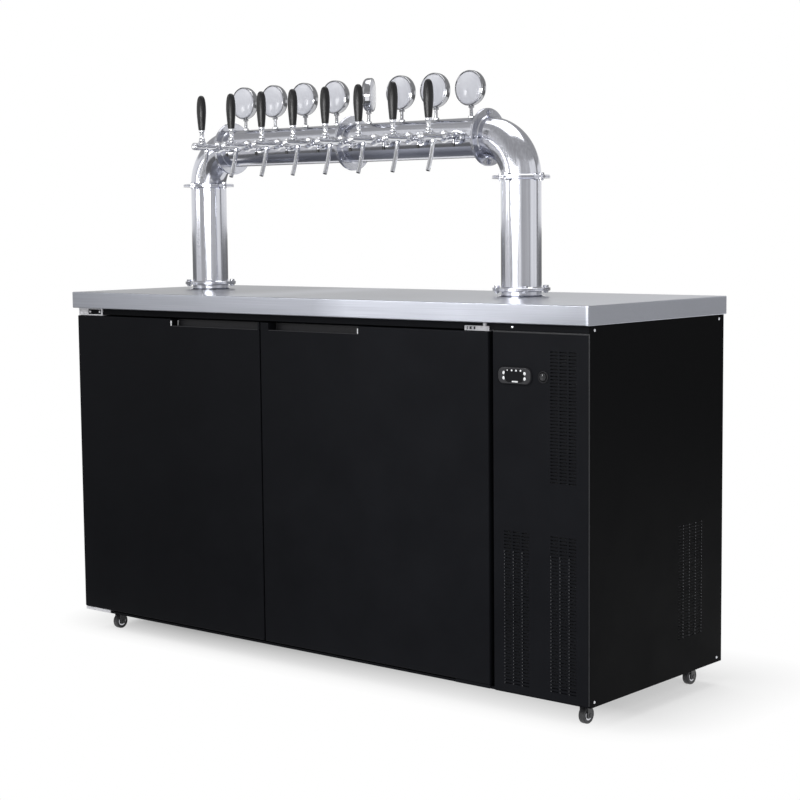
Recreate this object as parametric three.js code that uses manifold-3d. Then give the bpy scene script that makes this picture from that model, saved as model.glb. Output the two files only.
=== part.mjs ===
// Draft beer dispenser: a two-door keg cooler on casters, a machine bay at its right,
// a stainless worktop, and a bolted pipe tower that carries eight taps and their medallions.
// Millimetres, +Z up, +X to the right seen from the front, -Y towards the person who pours.
// The origin is on the floor, under the middle of the worktop.
import * as THREE from "three";
import { mergeVertices } from "three/addons/utils/BufferGeometryUtils.js";
import Module from "manifold-3d";

const wasm = await Module();
wasm.setup();

// Driving sizes of the worktop
const topWidth = 1755;
const topDepth = 600;
const topThickness = 45;
const topSideOverhang = 5;
const topFrontOverhang = 14;
const topBackOverhang = 6;

// Driving sizes of the cabinet
const casterHeight = 60;
const cabinetHeight = 866;
const wallThickness = 50;
const machineWall = 30;
const topRailHeight = 17;
const topRailSetback = 8;
const baseRailHeight = 6;
const baseRailSetback = 6;
const mullionWidth = 60;
const mullionDepth = 40;

// Driving sizes of the doors
const doorDepth = 46;
const leftDoorWidth = 718;
const doorGap = 4;
const gasketDepth = 10;
const gasketWidth = 18;
const gasketInset = 30;
const hingeInset = 14;
const hingePinRadius = 4;
const hingePinLength = 18;
const hingePlate = 3;
const hingePlateLength = 104;
const hingePlateReach = 26;
const leftGripLength = 330;
const leftGripMargin = 5;
const rightGripLength = 308;
const rightGripMargin = 29;
const gripLipDrop = 20;
const gripDepth = 34;
const gripLip = 6;
const gripReach = 24;

// Driving sizes of the machine bay's covers
const panelWidth = 270;
const panelGroove = 15;
const panelSheet = 2.5;
const bayJamb = 10;
const bayFlange = 8;
const bayFloor = 20;
const windowMargin = 12;
const grooveDepth = 31;
const jambWidth = 7.5;

// Driving sizes of the pipe tower
const towerOffset = -121;
const towerHalfSpan = 558;
const towerSetback = 50;
const beamHeight = 398.5;
const pipeRadius = 50.8;
const pipeWall = 2.5;
const elbowRadius = 102;
const flangeRadius = 72.5;
const flangeThickness = 4;
const boltCircle = 62;
const boltRadius = 4;
const boltHeadRadius = 7;
const boltHeadHeight = 6;
const boltSides = 6;
const baseStub = 14;
const lineHoleRadius = 40;

// Driving sizes of a tap
const tapCount = 8;
const tapPitch = 115;
const tapReach = 172;
const barrelRadius = 10;
const barrelNose = 34;
const noseRadius = 8;
const noseLength = 3;
const ringRadius = 16;
const ringThickness = 14;
const ringPlace = 104;
const bodyRadius = 12;
const collarRadius = 18;
const collarThickness = 14;
const shankRadius = 8.5;
const shankInside = 22;
const spoutRadius = 6;
const spoutDrop = 85;
const spoutSetback = 18;
const spoutLean = 22;
const spoutStraight = 29;
const leverRise = 18;
const leverBallRadius = 8.5;
const socketRadius = 11;
const socketBelow = 4;
const neckRadius = 6.2;
const gripFoot = 27;
const gripHeight = 94;
const gripRadius = 13;
const flowPlace = 96;
const flowBossRadius = 8;
const flowBossThickness = 5;
const flowArmThickness = 3.5;
const flowArmWidth = 6;
const flowArmLength = 20;
const flowArmGap = 0.6;
const flowTipRadius = 4;
const flowTipLength = 10;
const flowPinRadius = 2.5;

// Driving sizes of a medallion
const medallionRadius = 44.5;
const medallionThickness = 27;
const medallionRim = 6;
const medallionBackRim = 12;
const medallionHeight = 125;
const stemRadius = 4.5;
const stemNutRadius = 8;
const stemNutHeight = 4;
const turnedMedallion = 4;
const medallionTurnDegrees = 120;

// Driving sizes of the controls on the machine bay's front
const controllerWidth = 96;
const controllerHeight = 38;
const controllerDepth = 5;
const controllerBody = 50;
const controllerLip = 10;
const controllerFromLeft = 64;
const controllerFromTop = 102.5;
const controllerCorner = 12;
const keyProud = 1;
const bezelRadius = 14;
const bezelBore = 11;
const bezelProud = 2.5;
const bezelTube = 11;
const switchFromLeft = 142.5;
const rockerRadius = 9.2;
const rockerProud = 4;
const rockerLength = 18;
const rockerPinRadius = 2;
const rockerPinReach = 13.5;
const keyRadius = 4;

// Driving sizes of the air slots
const slotHeight = 8;
const slotPitch = 24;
const upperVentLeft = 170;
const upperVentWidth = 71;
const upperVentTop = 57;
const upperVentHeight = 305;
const innerVentLeft = 21;
const innerVentWidth = 42;
const innerVentTop = 459;
const innerVentHeight = 387;
const outerVentLeft = 155;
const outerVentWidth = 75;
const outerVentTop = 486;
const outerVentHeight = 360;
const sideVentBack = 91;
const sideVentWidth = 124;
const sideVentTop = 502;
const sideVentHeight = 299;
const panelRise = 4;

// Driving sizes of a caster
const casterInset = 62;
const casterFrontInset = 62;
const casterPad = 64;
const casterPadThickness = 3;
const wheelRadius = 21;
const wheelWidth = 18;
const wheelTrail = 14;
const wheelShoulder = 3;
const axleRadius = 3.5;
const forkThickness = 2.5;
const forkRadius = 21;
const forkTop = 8;
const forkWidth = 20;
const earBelow = 7;
const kingpinRadius = 4;
const kingpinLength = 12;

// Driving sizes of the condensing unit and its fan
const trayThickness = 5;
const compressorRadius = 72;
const compressorHeight = 175;
const condenserWidth = 200;
const condenserHeight = 230;
const condenserDepth = 36;
const fanRadius = 68;
const fanClearance = 7;
const fanDepth = 18;
const fanHubRadius = 16;
const fanBlades = 5;
const bladeThickness = 3;
const bladePitchDegrees = 60;
const motorRadius = 20;
const motorLength = 45;
const motorShaft = 4;
const motorPost = 12;

// Clearances
const seat = 0.3;
const running = 0.3;
const doorClearance = 0.7;
const overrun = 5;
const weldTolerance = 1e-4;

// Facets
const roundSides = 20;
const pipeSides = 16;
const wheelSides = 16;
const smallSides = 10;
const thinSides = 8;
const ballRings = 6;
const elbowSteps = 5;
const spoutSteps = 4;
const cornerSteps = 3;

// Places that follow from the driving sizes
const cabinetRight = topWidth / 2 - topSideOverhang;
const cabinetLeft = -cabinetRight;
const faceY = topFrontOverhang - topDepth / 2;
const backY = topDepth / 2 - topBackOverhang;
const frameY = faceY + doorDepth + gasketDepth;
const cabinetBottom = casterHeight;
const cabinetTop = casterHeight + cabinetHeight;
const topZ = cabinetTop + seat + topThickness;
const doorBottom = cabinetBottom + baseRailHeight + hingePlate + seat + doorClearance;
const doorTop = cabinetTop - topRailHeight - hingePlate - seat - doorClearance;
const panelLeft = cabinetRight - panelWidth;
const rightDoorRight = panelLeft - panelGroove;
const splitX = cabinetLeft + leftDoorWidth + doorGap / 2;
const rightDoorLeft = splitX + doorGap / 2;
const coldRight = panelLeft - wallThickness;
const bayFaceY = faceY + panelSheet + seat;
const sideFaceX = cabinetRight - panelSheet - seat;
const hingeY = faceY + hingeInset;
const bayBackY = backY - machineWall;
const leftColumnX = towerOffset - towerHalfSpan;
const rightColumnX = towerOffset + towerHalfSpan;
const pipeBore = pipeRadius - pipeWall;
const columnHeight = beamHeight - elbowRadius;
const jointGap = seat / 2;
const wheelAxleZ = wheelRadius * Math.cos(Math.PI / wheelSides);
const controllerX = panelLeft + controllerFromLeft;
const controllerZ = cabinetTop - topRailHeight - controllerFromTop;
const switchX = panelLeft + switchFromLeft;
const rockerY = faceY - rockerProud + rockerLength / 2;
const leverZ = leverRise;
const flowArmX = ringRadius + flowArmGap;
const flowPinEnd = flowArmX + flowBossThickness + running * 2;

const root = new THREE.Group();

// A closed geometry as a solid that can be joined and cut
function solid(geometry) {
  const plain = geometry.index ? geometry.toNonIndexed() : geometry.clone();
  plain.deleteAttribute("normal");
  plain.deleteAttribute("uv");
  const merged = mergeVertices(plain, weldTolerance);
  const corners = [];
  for (let i = 0; i < merged.index.count; i += 3) {
    const [a, b, c] = merged.index.array.slice(i, i + 3);
    if (a !== b && b !== c && c !== a) corners.push(a, b, c);
  }
  const build = (triVerts) =>
    new wasm.Manifold(
      new wasm.Mesh({
        numProp: 3,
        vertProperties: merged.attributes.position.array,
        triVerts: new Uint32Array(triVerts),
      }),
    );
  const made = build(corners);
  return made.volume() < 0 ? build(corners.toReversed()) : made;
}

// A solid's triangles as a geometry
function geometryOf(made) {
  const mesh = made.getMesh();
  const places = new Float32Array(mesh.numVert * 3);
  for (let i = 0; i < mesh.numVert; i++) {
    places.set(mesh.vertProperties.subarray(i * mesh.numProp, i * mesh.numProp + 3), i * 3);
  }
  const geometry = new THREE.BufferGeometry();
  geometry.setAttribute("position", new THREE.BufferAttribute(places, 3));
  geometry.setIndex(new THREE.BufferAttribute(new Uint32Array(mesh.triVerts), 1));
  return geometry;
}

const join = (first, ...others) => others.reduce((sum, next) => sum.add(next), first);
const cut = (first, ...others) => others.reduce((rest, next) => rest.subtract(next), first);

// A solid turned and moved by a matrix
function placed(made, matrix) {
  return solid(geometryOf(made).applyMatrix4(matrix));
}

function moved(made, x, y, z) {
  return placed(made, new THREE.Matrix4().makeTranslation(x, y, z));
}

// A box between two corners
function box(x0, x1, y0, y1, z0, z1) {
  const geometry = new THREE.BoxGeometry(x1 - x0, y1 - y0, z1 - z0);
  return solid(geometry.translate((x0 + x1) / 2, (y0 + y1) / 2, (z0 + z1) / 2));
}

// Rods along each axis
function rodZ(radius, x, y, z0, z1, sides) {
  const geometry = new THREE.CylinderGeometry(radius, radius, z1 - z0, sides);
  return solid(geometry.rotateX(Math.PI / 2).translate(x, y, (z0 + z1) / 2));
}

function rodY(radius, x, z, y0, y1, sides) {
  const geometry = new THREE.CylinderGeometry(radius, radius, y1 - y0, sides);
  return solid(geometry.translate(x, (y0 + y1) / 2, z));
}

function rodX(radius, y, z, x0, x1, sides) {
  const geometry = new THREE.CylinderGeometry(radius, radius, x1 - x0, sides);
  return solid(geometry.rotateZ(Math.PI / 2).translate((x0 + x1) / 2, y, z));
}

// The radius of a faceted bore that clears a faceted rod of a radius however it is turned
const boreFor = (radius, sides) => (radius + running) / Math.cos(Math.PI / sides);

// A profile of [radius, height] pairs turned about Z
function turned(profile, sides) {
  const points = profile.map(([radius, height]) => new THREE.Vector2(radius, height));
  return solid(new THREE.LatheGeometry(points, sides).rotateX(Math.PI / 2));
}

// Named mesh in a group
function addMesh(name, made, material, parent = root) {
  const mesh = new THREE.Mesh(geometryOf(made), material);
  mesh.name = name;
  parent.add(mesh);
  return mesh;
}

// Materials
const finish = (color, roughness, metalness) =>
  new THREE.MeshStandardMaterial({ color, roughness, metalness });
const blackPaint = finish(0x101114, 0.45, 0.2);
const brushedSteel = finish(0xb9bdc6, 0.34, 1);
const polishedSteel = finish(0xd8dae0, 0.12, 1);
const chrome = finish(0xe6e8ee, 0.08, 1);
const blackGrip = finish(0x0b0c0e, 0.25, 0);
const medallionFace = finish(0xc9cbd2, 0.3, 0.6);
const darkPlastic = finish(0x14151a, 0.5, 0);
const rubberTread = finish(0x2a2b2e, 0.8, 0);
const bareMachine = finish(0x2c2e33, 0.6, 0.5);

// The insulated carcass: cold room with its mullion, machine bay, rails and caster pads
function cabinetShell() {
  const cold = box(cabinetLeft, panelLeft, frameY, backY, cabinetBottom, cabinetTop);
  const bay = box(panelLeft - overrun, sideFaceX, bayFaceY, backY, cabinetBottom, cabinetTop);
  const grooveY = faceY + grooveDepth;
  const grooveCut = box(
    panelLeft - overrun * 2, panelLeft, bayFaceY - overrun, grooveY,
    cabinetBottom - overrun, cabinetTop + overrun,
  );
  const jamb = box(panelLeft - jambWidth, panelLeft, grooveY, frameY, cabinetBottom, cabinetTop);
  const topRail = box(
    cabinetLeft, panelLeft, faceY + topRailSetback, frameY,
    cabinetTop - topRailHeight, cabinetTop,
  );
  const baseRail = box(
    cabinetLeft, panelLeft, faceY + baseRailSetback, frameY,
    cabinetBottom, cabinetBottom + baseRailHeight,
  );
  const room = box(
    cabinetLeft + wallThickness, coldRight, frameY - overrun, backY - wallThickness,
    cabinetBottom + wallThickness, cabinetTop - wallThickness,
  );
  const mullion = box(
    splitX - mullionWidth / 2, splitX + mullionWidth / 2, frameY, frameY + mullionDepth,
    cabinetBottom + wallThickness / 2, cabinetTop - wallThickness / 2,
  );
  const bayRoom = box(
    panelLeft + bayJamb, sideFaceX - bayFlange, bayFaceY + bayFlange, bayBackY,
    cabinetBottom + bayFloor, cabinetTop - bayFloor,
  );
  const frontWindow = box(
    panelLeft + bayJamb + windowMargin, sideFaceX - bayFlange - windowMargin,
    bayFaceY - overrun, bayFaceY + bayFlange + overrun,
    cabinetBottom + bayFloor + windowMargin, cabinetTop - bayFloor - windowMargin,
  );
  const sideWindow = box(
    sideFaceX - bayFlange - overrun, sideFaceX + overrun,
    bayFaceY + bayFlange + windowMargin, bayBackY - windowMargin,
    cabinetBottom + bayFloor + windowMargin, cabinetTop - bayFloor - windowMargin,
  );
  const lineHoles = [leftColumnX, rightColumnX].map((x) =>
    rodZ(
      lineHoleRadius, x, towerSetback,
      cabinetTop - wallThickness - overrun, cabinetTop + overrun, smallSides,
    ),
  );
  const kingpinHoles = casterPlaces().map(([x, y]) =>
    rodZ(
      boreFor(kingpinRadius, smallSides), x, y, 0,
      cabinetBottom + kingpinLength + overrun / 2, smallSides,
    ),
  );
  const pads = casterPlaces().map(([x, y]) =>
    box(
      x - casterPad / 2, x + casterPad / 2, y - casterPad / 2, y + casterPad / 2,
      cabinetBottom - casterPadThickness, cabinetBottom + casterPadThickness,
    ),
  );
  const hull = cut(join(cold, cut(bay, grooveCut), jamb, topRail, baseRail), room);
  const body = cut(join(hull, mullion), bayRoom, frontWindow, sideWindow, ...lineHoles);
  return cut(join(body, ...pads), ...kingpinHoles);
}

// The four places where a caster is bolted
function casterPlaces() {
  const near = cabinetRight - casterInset;
  return [
    [-near, faceY + casterFrontInset],
    [near, faceY + casterFrontInset],
    [-near, backY - casterFrontInset],
    [near, backY - casterFrontInset],
  ];
}

// The folded steel worktop, drilled for the beer lines under both columns
function worktop() {
  const slab = box(
    -topWidth / 2, topWidth / 2, -topDepth / 2, topDepth / 2,
    cabinetTop + seat, topZ,
  );
  const holes = [leftColumnX, rightColumnX].map((x) =>
    rodZ(lineHoleRadius, x, towerSetback, cabinetTop - overrun, topZ + overrun, smallSides),
  );
  return cut(slab, ...holes);
}

// A foamed door with its gasket, hinge pin holes, and a finger groove in its top edge
function door(left, right, hingeX, gripLeft, gripLength) {
  const slab = box(left, right, faceY, faceY + doorDepth, doorBottom, doorTop);
  const gasketOuter = box(
    left + gasketInset, right - gasketInset, faceY + doorDepth - overrun, frameY - seat,
    doorBottom + gasketInset, doorTop - gasketInset,
  );
  const inner = gasketInset + gasketWidth;
  const gasketInner = box(
    left + inner, right - inner, faceY + doorDepth, frameY + overrun,
    doorBottom + inner, doorTop - inner,
  );
  const lipCut = box(
    gripLeft, gripLeft + gripLength, faceY - overrun, faceY + gripLip + gripReach,
    doorTop - gripLipDrop, doorTop + overrun,
  );
  const groove = box(
    gripLeft, gripLeft + gripLength, faceY + gripLip, faceY + gripLip + gripReach,
    doorTop - gripDepth, doorTop + overrun,
  );
  const pinHoles = [
    [doorBottom - overrun, doorBottom + hingePinLength],
    [doorTop - hingePinLength, doorTop + overrun],
  ].map(([z0, z1]) =>
    rodZ(boreFor(hingePinRadius, smallSides), hingeX, hingeY, z0, z1, smallSides),
  );
  const leaf = cut(slab, lipCut, groove, ...pinHoles);
  return join(leaf, cut(gasketOuter, gasketInner));
}

// An angle bracket with its hinge pin: side is 1 at the left door and -1 at the right one,
// and way is 1 above a door and -1 below it
function hingeBracket(side, way) {
  const edge = side > 0 ? cabinetLeft + seat : rightDoorRight - seat;
  const far = edge + side * hingePlateLength;
  const [x0, x1] = side > 0 ? [edge, far] : [far, edge];
  const railEdge = way > 0 ? cabinetTop - topRailHeight : cabinetBottom + baseRailHeight;
  const plateNear = railEdge - way * seat;
  const plateFar = plateNear - way * hingePlate;
  const railFace = faceY + (way > 0 ? topRailSetback : baseRailSetback) - seat;
  const legEnd = way > 0 ? cabinetTop - seat * 2 : cabinetBottom + seat;
  const plate = box(
    x0, x1, railFace - hingePlate, railFace + hingePlateReach,
    Math.min(plateNear, plateFar), Math.max(plateNear, plateFar),
  );
  const leg = box(
    x0, x1, railFace - hingePlate, railFace,
    Math.min(plateFar, legEnd), Math.max(plateFar, legEnd),
  );
  const pinEnd = plateNear - way * (hingePinLength + doorClearance);
  const pinX = side > 0 ? cabinetLeft + hingeInset : rightDoorRight - hingeInset;
  const pin = rodZ(
    hingePinRadius, pinX, hingeY,
    Math.min(plateNear, pinEnd), Math.max(plateNear, pinEnd), smallSides,
  );
  return join(plate, leg, pin);
}

// One column of air slots below a height: cutOne makes the slot between two heights
function slotColumn(high, height, cutOne) {
  const count = Math.floor((height - slotHeight) / slotPitch) + 1;
  return Array.from({ length: count }, (_, i) =>
    cutOne(high - i * slotPitch - slotHeight, high - i * slotPitch),
  );
}

// The service panel: a sheet with three groups of air slots, a window for the controller,
// and a round bezel whose tube holds the rocker's pins
function servicePanel() {
  const front = faceY - overrun;
  const back = faceY + panelSheet + overrun;
  const sheet = box(
    panelLeft, cabinetRight, faceY, faceY + panelSheet,
    cabinetBottom + panelRise, cabinetTop - topRailHeight - seat,
  );
  const groups = [
    [upperVentLeft, upperVentWidth, upperVentTop, upperVentHeight],
    [innerVentLeft, innerVentWidth, innerVentTop, innerVentHeight],
    [outerVentLeft, outerVentWidth, outerVentTop, outerVentHeight],
  ];
  const slots = groups.flatMap(([fromLeft, width, fromTop, height]) =>
    slotColumn(cabinetTop - fromTop, height, (z0, z1) =>
      box(panelLeft + fromLeft, panelLeft + fromLeft + width, front, back, z0, z1),
    ),
  );
  const halfWidth = controllerWidth / 2 - controllerLip;
  const halfHeight = controllerHeight / 2 - controllerLip / 2;
  const window = box(
    controllerX - halfWidth, controllerX + halfWidth, front, back,
    controllerZ - halfHeight, controllerZ + halfHeight,
  );
  const bezel = rodY(
    bezelRadius, switchX, controllerZ, faceY - bezelProud, faceY + bezelTube, roundSides,
  );
  const bore = rodY(
    bezelBore, switchX, controllerZ, front, faceY + bezelTube + overrun, roundSides,
  );
  const pinHole = rodX(
    boreFor(rockerPinRadius, thinSides), rockerY, controllerZ,
    switchX - bezelRadius - overrun, switchX + bezelRadius + overrun, thinSides,
  );
  return cut(join(cut(sheet, ...slots, window), bezel), bore, pinHole);
}

// The machine bay's right cover, with its own air slots low at the back
function sidePanel() {
  const sheet = box(
    cabinetRight - panelSheet, cabinetRight, bayFaceY, backY, cabinetBottom, cabinetTop,
  );
  const ventBack = backY - sideVentBack;
  const slots = slotColumn(cabinetTop - sideVentTop, sideVentHeight, (z0, z1) =>
    box(
      cabinetRight - panelSheet - overrun, cabinetRight + overrun,
      ventBack - sideVentWidth, ventBack, z0, z1,
    ),
  );
  return cut(sheet, ...slots);
}

// A rectangle with round corners, standing in the XZ plane and reaching from y0 back to y1
function roundedPlate(width, height, corner, x, z, y0, y1) {
  const w = width / 2 - corner;
  const h = height / 2 - corner;
  const shape = new THREE.Shape();
  shape.absarc(w, h, corner, 0, Math.PI / 2);
  shape.absarc(-w, h, corner, Math.PI / 2, Math.PI);
  shape.absarc(-w, -h, corner, Math.PI, Math.PI * 1.5);
  shape.absarc(w, -h, corner, Math.PI * 1.5, Math.PI * 2);
  const geometry = new THREE.ExtrudeGeometry(shape, {
    depth: y1 - y0,
    bevelEnabled: false,
    curveSegments: cornerSteps,
  });
  return solid(geometry.rotateX(Math.PI / 2).translate(x, y1, z));
}

// The temperature controller: a round-cornered face with four flat keys, and its body in the panel
function controller() {
  const face = roundedPlate(
    controllerWidth, controllerHeight, controllerCorner, controllerX, controllerZ,
    faceY - seat - controllerDepth, faceY - seat,
  );
  const inset = controllerLip + running;
  const body = box(
    controllerX - controllerWidth / 2 + inset, controllerX + controllerWidth / 2 - inset,
    faceY - controllerDepth / 2, faceY + controllerBody,
    controllerZ - controllerHeight / 2 + controllerLip / 2 + running,
    controllerZ + controllerHeight / 2 - controllerLip / 2 - running,
  );
  const keyAcross = controllerWidth / 2 - controllerCorner;
  const keyUp = controllerHeight / 2 - controllerCorner;
  const keys = [-1, 1].flatMap((a) =>
    [-1, 1].map((b) =>
      rodY(
        keyRadius, controllerX + a * keyAcross, controllerZ + b * keyUp,
        faceY - seat - controllerDepth - keyProud, faceY - controllerDepth / 2, thinSides,
      ),
    ),
  );
  return join(face, body, ...keys);
}

// The light switch's round rocker about its pins, which turn in the bezel's tube
function lightSwitch() {
  const front = faceY - rockerProud - rockerY;
  const rocker = rodY(rockerRadius, 0, 0, front, front + rockerLength, roundSides);
  const pins = rodX(rockerPinRadius, 0, 0, -rockerPinReach, rockerPinReach, thinSides);
  return join(rocker, pins);
}

// A flange ring about Z that lies from z0 to z1
function ring(outer, inner, z0, z1, sides) {
  return cut(
    rodZ(outer, 0, 0, z0, z1, sides),
    rodZ(inner, 0, 0, z0 - overrun, z1 + overrun, pipeSides),
  );
}

function boltAngles(turn) {
  return [0, 1, 2, 3].map((i) => turn + (i * Math.PI) / 2);
}

// The flange that carries the bolts: its joint face is at z = 0 and it reaches up
function boltedFlange(turn) {
  const plate = ring(flangeRadius, pipeBore, jointGap, flangeThickness, roundSides);
  const far = -flangeThickness - jointGap;
  const bolts = boltAngles(turn).flatMap((angle) => {
    const x = boltCircle * Math.cos(angle);
    const y = boltCircle * Math.sin(angle);
    return [
      rodZ(
        boltHeadRadius, x, y, flangeThickness - jointGap, flangeThickness + boltHeadHeight,
        boltSides,
      ),
      rodZ(boltRadius, x, y, far - boltHeadHeight, flangeThickness, boltSides),
      rodZ(boltHeadRadius, x, y, far - boltHeadHeight, far, boltSides),
    ];
  });
  return join(plate, ...bolts);
}

// The flange that the bolts pass through: it reaches down from z = 0
function drilledFlange(turn) {
  const plate = ring(flangeRadius, pipeBore, -flangeThickness, -jointGap, roundSides);
  const holes = boltAngles(turn).map((angle) =>
    rodZ(
      boltRadius + running, boltCircle * Math.cos(angle), boltCircle * Math.sin(angle),
      -flangeThickness - overrun, overrun, boltSides,
    ),
  );
  return cut(plate, ...holes);
}

const squareTurn = 0;
const diagonalTurn = Math.PI / 4;

// A column with its bolted foot, its joint face at the top, standing at the origin
function column() {
  const pipe = cut(
    rodZ(pipeRadius, 0, 0, seat, columnHeight - jointGap, pipeSides),
    rodZ(pipeBore, 0, 0, -overrun, columnHeight + overrun, pipeSides),
  );
  const top = moved(drilledFlange(squareTurn), 0, 0, columnHeight);
  const footPlate = ring(
    flangeRadius, pipeBore, baseStub, baseStub + flangeThickness * 2, roundSides,
  );
  const footBolts = boltAngles(diagonalTurn).map((angle) =>
    rodZ(
      boltHeadRadius, boltCircle * Math.cos(angle), boltCircle * Math.sin(angle),
      baseStub - boltHeadHeight, baseStub + flangeThickness * 2 + boltHeadHeight, boltSides,
    ),
  );
  return join(pipe, top, footPlate, ...footBolts);
}

// A quarter bend from straight up at the origin to straight along +X
class BendPath extends THREE.Curve {
  getPoint(t) {
    const angle = (t * Math.PI) / 2;
    return new THREE.Vector3(
      elbowRadius * (1 - Math.cos(angle)), 0, elbowRadius * Math.sin(angle),
    );
  }

  getTangent(t) {
    const angle = (t * Math.PI) / 2;
    return new THREE.Vector3(Math.sin(angle), 0, Math.cos(angle));
  }
}

// A pipe's round section swept along the bend
function bend(radius) {
  const shape = new THREE.Shape();
  shape.absarc(0, 0, radius, 0, Math.PI * 2);
  return solid(
    new THREE.ExtrudeGeometry(shape, {
      steps: elbowSteps,
      curveSegments: pipeSides / 2,
      extrudePath: new BendPath(),
      bevelEnabled: false,
    }),
  );
}

// The elbow: its bolted flange stands on the column and its drilled one faces the beam
function elbow() {
  const drilled = drilledFlange(squareTurn);
  const outward = new THREE.Matrix4()
    .makeTranslation(elbowRadius, 0, elbowRadius)
    .multiply(new THREE.Matrix4().makeRotationY(Math.PI / 2));
  const ends = join(boltedFlange(squareTurn), placed(drilled, outward));
  const pipe = cut(bend(pipeRadius), bend(pipeBore));
  const trimFoot = box(
    -elbowRadius, elbowRadius, -elbowRadius, elbowRadius, -overrun, jointGap,
  );
  const trimEnd = box(
    elbowRadius - jointGap, elbowRadius + overrun,
    -elbowRadius / 2 - overrun, elbowRadius / 2 + overrun,
    elbowRadius / 2 - overrun, elbowRadius * 1.5 + overrun,
  );
  return join(cut(pipe, trimFoot, trimEnd), ends);
}

const beamLength = towerHalfSpan - elbowRadius;

// Half of the beam along +X from the elbow's face at the origin, its middle flange at the far end
function beamHalf(taps, boltedMiddle) {
  const pipe = cut(
    rodX(pipeRadius, 0, 0, jointGap, beamLength - jointGap, pipeSides),
    rodX(pipeBore, 0, 0, -overrun, beamLength + overrun, pipeSides),
  );
  const toRight = new THREE.Matrix4().makeRotationY(Math.PI / 2);
  const start = placed(boltedFlange(squareTurn), toRight);
  const atMiddle = (turn) =>
    new THREE.Matrix4().makeTranslation(beamLength, 0, 0).multiply(
      new THREE.Matrix4().makeRotationY(turn),
    );
  const middle = boltedMiddle
    ? placed(boltedFlange(diagonalTurn), atMiddle(-Math.PI / 2))
    : placed(drilledFlange(diagonalTurn), atMiddle(Math.PI / 2));
  const holes = taps.flatMap((x) => [
    rodY(boreFor(shankRadius, smallSides), x, 0, -pipeRadius - overrun, 0, smallSides),
    rodZ(boreFor(stemRadius, thinSides), x, 0, 0, pipeRadius + overrun, thinSides),
  ]);
  return cut(join(pipe, start, middle), ...holes);
}

// A line that starts straight down and leans forward
function spout() {
  const path = new THREE.QuadraticBezierCurve3(
    new THREE.Vector3(0, spoutSetback, 0),
    new THREE.Vector3(0, spoutSetback, -spoutStraight),
    new THREE.Vector3(0, spoutSetback - spoutLean, -spoutDrop),
  );
  const shape = new THREE.Shape();
  shape.absarc(0, 0, spoutRadius, 0, Math.PI * 2);
  return solid(
    new THREE.ExtrudeGeometry(shape, {
      steps: spoutSteps,
      curveSegments: boltSides / 2,
      extrudePath: path,
      bevelEnabled: false,
    }),
  );
}

// A tap under its lever's ball: barrel, spout, lever socket, hexagon ring, valve, collar, shank
function tapBody() {
  const beamFace = tapReach - pipeRadius - seat;
  const along = (radius, y0, y1, sides) => rodY(radius, 0, 0, y0, y1, sides);
  const ringY = tapReach - ringPlace;
  const barrel = along(barrelRadius, noseLength - barrelNose, ringY, smallSides);
  const nose = along(noseRadius, -barrelNose, 0, thinSides);
  const hexagon = along(ringRadius, ringY - ringThickness, ringY, boltSides);
  const valve = along(bodyRadius, ringY - overrun, beamFace - overrun, smallSides);
  const collar = along(collarRadius, beamFace - collarThickness, beamFace, smallSides);
  const shank = along(shankRadius, beamFace - overrun, beamFace + shankInside, smallSides);
  const socket = rodZ(socketRadius, 0, 0, 0, leverZ - socketBelow, smallSides);
  const cupRadius = boreFor(leverBallRadius, smallSides) / Math.cos(Math.PI / ballRings / 2);
  const cup = moved(leverBall(cupRadius), 0, 0, leverZ);
  const flowPin = rodX(flowPinRadius, tapReach - flowPlace, 0, 0, flowPinEnd, thinSides);
  return join(
    cut(join(barrel, nose, socket), cup), hexagon, valve, collar, shank, spout(), flowPin,
  );
}

function leverBall(radius) {
  return solid(new THREE.SphereGeometry(radius, smallSides, ballRings).rotateX(Math.PI / 2));
}

// The grip's profile as shares of its radius and of its height
const gripShares = [
  [0.7, 0],
  [0.9, 0.25],
  [1, 0.55],
  [0.93, 0.78],
  [0.62, 0.95],
];

// The tap's handle about the centre of its ball: ball, neck and the rounded black grip
function tapHandle() {
  const grip = turned(
    [
      [0, gripFoot],
      ...gripShares.map(([r, h]) => [gripRadius * r, gripFoot + gripHeight * h]),
      [0, gripFoot + gripHeight],
    ],
    smallSides,
  );
  const neck = rodZ(neckRadius, 0, 0, leverBallRadius / 2, gripFoot + overrun, thinSides);
  return join(leverBall(leverBallRadius), neck, grip);
}

// The flow lever about its pivot: a boss on the pin, an arm that hangs down, a black tip
function flowLever() {
  const near = flowArmX;
  const boss = rodX(flowBossRadius, 0, 0, near, near + flowBossThickness, smallSides);
  const arm = box(
    near, near + flowArmThickness, -flowArmWidth / 2, flowArmWidth / 2, -flowArmLength, 0,
  );
  const bore = rodX(
    boreFor(flowPinRadius, thinSides), 0, 0,
    near - overrun, near + flowBossThickness + overrun, thinSides,
  );
  const tip = rodZ(
    flowTipRadius, near + flowArmThickness / 2, 0,
    -flowArmLength - flowTipLength / 2, -flowArmLength + flowTipLength / 2, thinSides,
  );
  return join(cut(join(boss, arm), bore), tip);
}

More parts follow.
